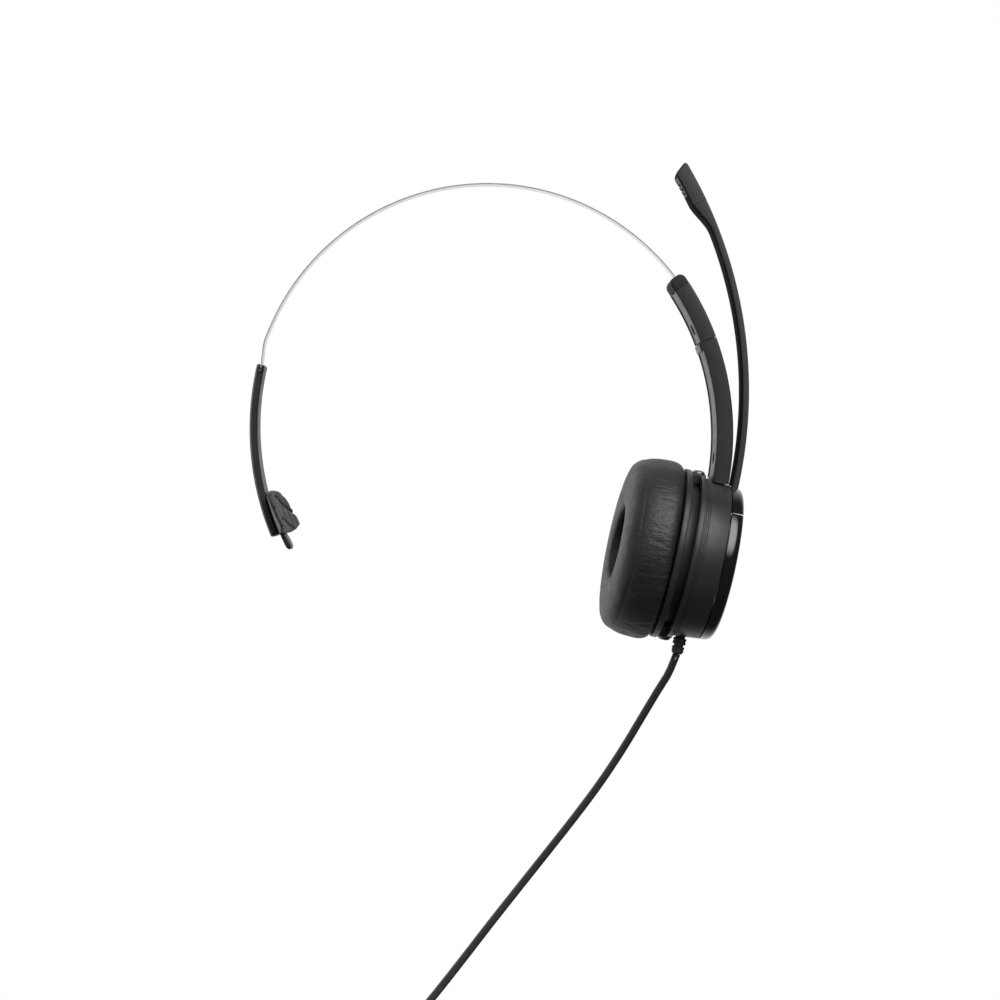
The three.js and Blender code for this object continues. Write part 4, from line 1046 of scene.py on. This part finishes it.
# ---- Speaker pod -------------------------------------------------------------------------------
# The pod hangs on two pins between the drum's lugs. Its shell is a deep black cup with a thick
# rim that the ear cushion is stretched over.
pod_outline = [
    [0, 4.5], [24.6, 4.5], [25.0, 4.4], [25.2, 4.1], [25.2, -2.4], [25.35, -2.8], [25.7, -3.0],
    [30.25, -3.0], [30.6, -3.1], [30.8, -3.4], [30.8, -4.9], [30.7, -5.15], [30.4, -5.3],
    [23.7, -5.3], [23.7, 3.0], [0, 3.0]]
pod_shell = spun("pod_shell", pod_outline, 160)
joined(pod_shell, [
    cup_rod("bore", 1.45, [way * 22, way * 27], 0, 0, 24) for way in (1, -1)], "DIFFERENCE")
sharp_shade(pod_shell, 40)
finish(pod_shell, "speaker_pod", satin, "cup_plastic", "pod_shell")

screen_cloth = material("screen_cloth", (0.016, 0.016, 0.017), 0.9, Sheen_Weight=0.2)
weave_nodes = screen_cloth.node_tree.nodes
weave_place = weave_nodes.new("ShaderNodeTexCoord")
weave = weave_nodes.new("ShaderNodeTexVoronoi")
weave.inputs["Scale"].default_value = 1800
screen_cloth.node_tree.links.new(weave_place.outputs["Object"], weave.inputs["Vector"])
spread(
    screen_cloth, weave.outputs["Distance"], "Base Color",
    (0.034, 0.034, 0.036), (0.006, 0.006, 0.006), 0.1, 0.7)
bumps(screen_cloth, (weave.outputs["Distance"], 0.0003, 0.6))
ear_screen = spun("ear_screen", [
    [0, -8.0], [6, -7.95], [10, -7.75], [12.6, -7.4], [12.95, -7.1], [12.95, -5.8],
    [0, -5.8]], 96)
sharp_shade(ear_screen, 40)
finish(ear_screen, "speaker_pod", screen_cloth, "screen_cloth", "ear_screen")

# ---- Ear cushion -------------------------------------------------------------------------------
# A foam ring under soft leatherette, sewn from a face and a side panel that meet in one seam.
# The side is gathered over the pod's rim, which pulls it into fine creases across its width.
cushion_rows = np.array([
    [13.2, -6.2], [12.9, -9], [12.7, -13], [12.5, -17], [12.5, -20.5], [12.65, -22.2],
    [13.1, -23.1], [14.4, -23.7], [17.0, -23.95], [20.5, -24.0], [24.0, -23.9], [26.8, -23.5],
    [29.0, -22.7], [30.6, -21.3], [31.6, -19.6], [32.3, -17.6], [32.8, -15.4], [33.0, -13.2],
    [33.1, -11.0], [33.0, -9.0], [32.5, -7.3], [31.6, -6.1], [30.3, -5.5], [28.0, -5.4],
    [24.0, -5.4], [20.0, -5.4], [16.0, -5.5]])
filled = 0.6
core = np.array([23.2, -14.5])
inwards = core - cushion_rows
inwards /= np.linalg.norm(inwards, axis=1, keepdims=True)
around = 96
turns = np.linspace(0, 2 * np.pi, around + 1)[:-1]


def cushion_grid(lines, v):
    """Rows of (radius, station) pairs, one for each turn v, round the cup's axis: r cos v up,
    r sin v to the side, and the station outwards."""
    return in_cup(lines[..., 0] * np.cos(v), lines[..., 0] * np.sin(v), lines[..., 1])


slack = cushion_rows + inwards * filled
slack_grid = cushion_grid(np.repeat(slack[:, None], around, 1), turns)


def inflated(grid, held):
    """Fills a closed ring of cloth with air: Blender's Cloth with pressure 4 and no gravity runs
    for 20 frames with the held rows pinned. Gives back the grid of points where they end up."""
    bag = solid("bag", grid, rows_close=True)
    group = bag.vertex_groups.new(name="held")
    rows, columns = grid.shape[:2]
    rows_held = np.array(held)[:, None] * columns + np.arange(columns)
    group.add(rows_held.ravel().tolist(), 1.0, "ADD")
    cloth = bag.modifiers.new("air", "CLOTH")
    cloth.settings.quality = 5
    cloth.settings.mass = 0.15
    cloth.settings.tension_stiffness = 12
    cloth.settings.compression_stiffness = 12
    cloth.settings.bending_stiffness = 0.6
    cloth.settings.use_pressure = True
    cloth.settings.uniform_pressure_force = 4
    cloth.settings.vertex_group_mass = "held"
    cloth.settings.effector_weights.gravity = 0
    cloth.collision_settings.use_self_collision = False
    for moment in range(1, 21):
        bpy.context.scene.frame_set(moment)
    settled = bag.evaluated_get(bpy.context.evaluated_depsgraph_get())
    shape = settled.to_mesh()
    points = np.empty(len(shape.vertices) * 3, np.float32)
    shape.vertices.foreach_get("co", points)
    settled.to_mesh_clear()
    bpy.data.objects.remove(bag)
    bpy.context.scene.frame_set(1)
    return points.reshape(rows, columns, 3) * 1000


blown = inflated(slack_grid, [0, 1, 22, 23, 24, 25, 26]) - cup_centre
rise, side, station = blown @ upwards, blown @ sideways, blown @ outwards
air = np.stack([np.hypot(rise, side), station], -1)
most = 1.1
change = air - slack[:, None]
size = np.linalg.norm(change, axis=2, keepdims=True)
air = slack[:, None] + change * np.minimum(1, most / np.maximum(size, 1e-6))


def finer(values, count):
    """Resamples a closed loop of rows to `count` rows by a periodic Catmull-Rom curve."""
    n = len(values)
    at = np.arange(count) * n / count
    k = np.floor(at).astype(int)
    t = (at - k).reshape(-1, *[1] * (values.ndim - 1))
    a, b, c, d = (values[(k + step) % n] for step in (-1, 0, 1, 2))
    return 0.5 * (2 * b + (c - a) * t + (2 * a - 5 * b + 4 * c - d) * t ** 2
                  + (3 * b - a - 3 * c + d) * t ** 3)


fine_rows, fine_turns = 152, 600
air = finer(air, fine_rows)
air = np.swapaxes(finer(np.swapaxes(air, 0, 1), fine_turns), 0, 1)
v = np.linspace(0, 2 * np.pi, fine_turns + 1)[:-1][None, :]
run = np.arange(fine_rows)[:, None] * len(cushion_rows) / fine_rows
dice = np.random.default_rng(11)
seam_row = 14.2
seam = np.exp(-((run - seam_row) / 0.16) ** 2)
beside_seam = np.exp(-((run - seam_row) / 0.7) ** 2)
window = np.clip((run - seam_row) / 1.6, 0, 1) * np.clip((23.0 - run) / 1.2, 0, 1)
creases = np.zeros((fine_rows, fine_turns))
crease_count, deepest_crease = 520, 0.22
for _ in range(crease_count):
    at, lean = dice.uniform(0, 2 * np.pi), dice.normal(0, 0.006)
    wide, deep = dice.uniform(0.009, 0.016), dice.uniform(0.02, 0.09)
    middle, reach = dice.uniform(15.0, 22.5), dice.uniform(0.8, 3.0)
    wander = lean * (run - middle) + 0.008 * np.sin(run * dice.uniform(0.8, 2.2) + at)
    off = (v - at - wander + np.pi) % (2 * np.pi) - np.pi
    creases += deep * np.exp(-(off / wide) ** 2) * np.exp(-((run - middle) / reach) ** 2)
face_window = np.clip((run - 4) / 3, 0, 1) * np.clip((seam_row - run) / 1.0, 0, 1)
ripples = 0.05 * np.sin(v * 19 + 1.3 * np.sin(v * 5)) * np.exp(-((run - 12.6) / 1.6) ** 2)
sunk = (0.1 * seam + 0.1 * beside_seam + np.minimum(creases, deepest_crease) * window
        + ripples * face_window)
to_core = core - air
to_core /= np.linalg.norm(to_core, axis=2, keepdims=True)
air = air + to_core * sunk[..., None]
lean_share = np.clip((-6.5 - air[..., 1]) / 16.0, 0, 1)
air[..., 1] -= lean_share * (1.0 + 1.5 * np.sin(v) * air[..., 0] / 33)
cushion = solid("ear_cushion", cushion_grid(air, v), rows_close=True)

leatherette = material("leatherette", (0.022, 0.0215, 0.0215), 0.44, Specular_IOR_Level=0.55)
grain_nodes = leatherette.node_tree.nodes
grain_place = grain_nodes.new("ShaderNodeTexCoord")
grain = grain_nodes.new("ShaderNodeTexVoronoi")
grain.feature = "DISTANCE_TO_EDGE"
grain.inputs["Scale"].default_value = 1250
grain_shift = grain_nodes.new("ShaderNodeVectorMath")
grain_shift.operation = "MULTIPLY_ADD"
grain_shift.inputs[1].default_value = (0.0008, 0.0008, 0.0008)
leatherette.node_tree.links.new(noise(leatherette, 300, 3), grain_shift.inputs[0])
leatherette.node_tree.links.new(grain_place.outputs["Object"], grain_shift.inputs[2])
leatherette.node_tree.links.new(grain_shift.outputs[0], grain.inputs["Vector"])
crinkle = grain_nodes.new("ShaderNodeTexVoronoi")
crinkle.feature = "DISTANCE_TO_EDGE"
crinkle.inputs["Scale"].default_value = 1.0
crinkle_size = grain_nodes.new("ShaderNodeMapping")
crinkle_size.inputs["Scale"].default_value = (1150, 420, 1)
leatherette.node_tree.links.new(grain_place.outputs["UV"], crinkle_size.inputs["Vector"])
leatherette.node_tree.links.new(crinkle_size.outputs[0], crinkle.inputs["Vector"])
spread(leatherette, noise(leatherette, 260, 5), "Roughness", 0.4, 0.54)
spread(
    leatherette, noise(leatherette, 120, 3), "Base Color",
    (0.012, 0.0119, 0.0119), (0.0175, 0.0172, 0.0172))
bumps(
    leatherette, (grain.outputs["Distance"], 0.0001, 0.5),
    (crinkle.outputs["Distance"], 0.00024, 0.6),
    (noise(leatherette, 1300, 4, (1.0, 0.22, 1), "UV"), 0.0002, 0.5))
finish(cushion, "speaker_pod", leatherette, "leatherette", "ear_cushion")

# ---- Boom cap and foot -------------------------------------------------------------------------
# A polished black disc that turns on the drum's back. The boom grows from a block at its rim, cut
# off along a straight chord, and the hub in its middle is held from inside by a screw.
cap_start, cap_end = 11.8, 16.4
cap_rim = 28.1
foot_chord = cap_rim - 9.8
cap_edge = [
    [28.1, cap_start], [28.08, 13.2], [27.98, 14.1], [27.72, 14.9], [27.3, 15.5], [26.7, 15.98],
    [26.0, 16.24], [25.0, 16.36], [23, 16.39], [20, cap_end]]
boom_cap = spun("boom_cap", [
    [0, 9.0], [5.8, 9.0], [5.8, 14.9], [24.1, 14.9], [26.6, cap_start], *cap_edge,
    [0, cap_end]], 192)
boom_foot = spun("boom_foot", [[0, cap_start], *cap_edge, [0, cap_end]], 192)
joined(boom_cap, [
    cup_block("above", [foot_chord - 0.2, 60], [-40, 40], [8, 20]),
    cup_block("bore", [-1.3, 1.3], [-1.3, 1.3], [8, 12.1], 0.9)], "DIFFERENCE")
joined(boom_foot, [cup_block("below", [-60, foot_chord + 0.05], [-40, 40], [8, 20])], "DIFFERENCE")
sharp_shade(boom_cap, 30, 0.14, 3)
sharp_shade(boom_foot, 30, 0.14, 3)
gloss = material(
    "polished_black", (0.006, 0.0062, 0.007), 0.09, Coat_Weight=0.6, Coat_Roughness=0.04)
spread(gloss, noise(gloss, 70, 3), "Roughness", 0.06, 0.13)
bumps(gloss, (noise(gloss, 120, 2), 0.00002, 0.1))
finish(boom_cap, "boom", gloss, "gloss_black", "boom_cap")
finish(boom_foot, "boom", gloss, "gloss_black", "boom_foot")

# ---- Boom --------------------------------------------------------------------------------------
# A springy moulded boom, 9 mm wide, bent to one long arc. A step runs down both of its edges,
# and it deepens towards the microphone head, which is a separate shell with a fine seam.
boom_radius, boom_thick, boom_width = 158.4, 2.6, 9.0
boom_foot_turn = -13
boom_root = in_cup(cap_rim - 1.3, 0, cap_start + 1.3)
boom_centre = boom_root - boom_radius * way_out(boom_foot_turn)
boom_out = boom_radius + boom_thick / 2


def boom_depth(turn):
    """The inner face's radius, which shrinks towards the microphone by the smooth step
    t^2 (3 - 2t) of the share t of the widening that is passed."""
    widen_from, widen_over, head_deeper = 21.2, 4.7, 2.8
    t = np.clip((turn - widen_from) / widen_over, 0, 1)
    return boom_out - boom_thick - head_deeper * t * t * (3 - 2 * t)


def boom_section(turn):
    """A slab with a step near its inner face. The step's side and the inner face carry painted
    shade, which shows as a darker line along the boom.
    """
    inner, half = boom_depth(turn), boom_width / 2
    step = inner + 0.4
    return eased(
        [[inner, 0.45 - half], [step, 0.45 - half], [step + 0.1, -half], [boom_out, -half],
         [boom_out, half], [step + 0.1, half], [step, half - 0.45], [inner, half - 0.45]],
        [0.3, 0.1, 0.12, 0.45, 0.45, 0.12, 0.1, 0.3], 3)


boom_arm = bent("boom_arm", boom_centre, np.linspace(-13.8, 25.3, 110), boom_section)
joined(boom_arm, [spun("core", [
    [0, -5], [cap_rim + 0.05, -5], [28.13, 13.2], [28.03, 14.15], [27.76, 14.95], [27.34, 15.56],
    [26.72, 16.04], [26.0, 16.3], [24, 16.45], [0, 16.5]], 192)], "DIFFERENCE")
sharp_shade(boom_arm, 30)
boom_plastic = material("boom_plastic", (0.030, 0.031, 0.034), 0.46)
spread(boom_plastic, noise(boom_plastic, 350, 4), "Roughness", 0.4, 0.54)
spread(
    boom_plastic, noise(boom_plastic, 90, 3), "Base Color",
    (0.020, 0.0205, 0.022), (0.026, 0.0265, 0.028))
bumps(boom_plastic, (noise(boom_plastic, 6500, 2), 0.00002, 0.5))
# Painted shade: the boom's inner face gets a darker, duller material, standing in for the shade
# that falls on it beside the arm.
boom_inner_painted_shade = material("boom_inner_painted_shade", (0.01, 0.01, 0.011), 0.85, Specular_IOR_Level=0.08)
spread(boom_inner_painted_shade, noise(boom_inner_painted_shade, 350, 4), "Roughness", 0.78, 0.9)


def paint_inner_shade(piece, depth):
    """Gives painted shade, a darker and duller material, to the faces within `depth` of the boom's
    inner face.
    """
    away = of_faces(piece, "center") * 1000 - boom_centre
    turn = np.degrees(np.arctan2(away[:, 2], away[:, 0]))
    dark = np.hypot(away[:, 0], away[:, 2]) < boom_depth(turn) + depth
    second_finish(piece, boom_inner_painted_shade, dark)


finish(boom_arm, "boom", boom_plastic, "boom_plastic", "boom_arm")
paint_inner_shade(boom_arm, 0.42)

mic_end, mic_round = 30.55, 0.6
mic_turns = np.concatenate([
    [25.33, 25.36, 25.45], np.linspace(25.8, 29.6, 24),
    mic_end - mic_round * (1 - np.sin(np.linspace(0, np.pi / 2, 9)))])
mic_rows = []
for turn in mic_turns:
    tip = np.clip((turn - (mic_end - mic_round)) / mic_round, 0, 1)
    inset = 1.1 * (1 - np.sqrt(1 - tip ** 2)) + 0.05 * (turn < 25.35)
    line = slab(
        boom_depth(turn) + inset, boom_out + 0.05 - inset, boom_width - 2 * inset, 0.6, 4)
    lean = 0.14 * np.clip((turn - 28.0) / 2.0, 0, 1) * (line[:, 0] - 157.0)
    a = np.radians(turn + lean)
    mic_rows.append(np.stack([
        boom_centre[0] + line[:, 0] * np.cos(a), line[:, 1],
        boom_centre[2] + line[:, 0] * np.sin(a)], -1))
mic_housing = solid("mic_housing", np.array(mic_rows))
mic_inner = boom_out - 5.4


def mic_slots(deep, width):
    """Three narrow slots across the head's inner face, cut from 1 mm above it."""
    return [
        bent("slot", boom_centre, np.linspace(turn - 0.1, turn + 0.1, 3),
             slab(mic_inner - 1, mic_inner + deep, width, 0.1)) for turn in (27.3, 28.0, 28.7)]


mic_pocket = bent(
    "pocket", boom_centre, np.linspace(26.7, 29.9, 8),
    slab(mic_inner - 1, boom_out - 1.2, 6.6, 0.3))
joined(mic_housing, [mic_pocket, *mic_slots(0.55, 12)], "DIFFERENCE")
sharp_shade(mic_housing, 30, 0.08)
finish(mic_housing, "boom", boom_plastic, "boom_plastic", "mic_housing")
paint_inner_shade(mic_housing, 0.35)
mic_cover = bent(
    "mic_cover", boom_centre, np.linspace(26.85, 29.75, 12),
    slab(mic_inner + 0.05, mic_inner + 1, 6.1, 0.3))
joined(mic_cover, mic_slots(2, 4.2), "DIFFERENCE")
sharp_shade(mic_cover, 30)
finish(mic_cover, "boom", dark_plastic, "boom_plastic", "mic_cover")

# ---- Inside ------------------------------------------------------------------------------------
# What the shells hide: the hub's screw, retainer and washer, the audio board and its chip, the
# speaker with its baffle, the detent spring and the microphone capsule. They keep the shapes of
# the CAD model, and only get their materials here.
board_green = material("board_green", (0.01, 0.09, 0.035), 0.4)
spread(board_green, noise(board_green, 1500, 2), "Roughness", 0.3, 0.5)
diaphragm_film = material("diaphragm_film", (0.2, 0.17, 0.12), 0.3)
spread(diaphragm_film, noise(diaphragm_film, 400, 2), "Roughness", 0.25, 0.4)
inside = {
    plated: (
        "hub_retainer", "hub_screw", "spring_washer", "detent_spring", "mic_capsule",
        "driver_magnet"),
    dark_plastic: ("codec_chip", "driver_frame", "speaker_baffle"),
    board_green: ("audio_board",),
    diaphragm_film: ("driver_diaphragm",),
}
for made, names in inside.items():
    for name in names:
        frame["nodes"][name].data.materials.clear()
        frame["nodes"][name].data.materials.append(made)
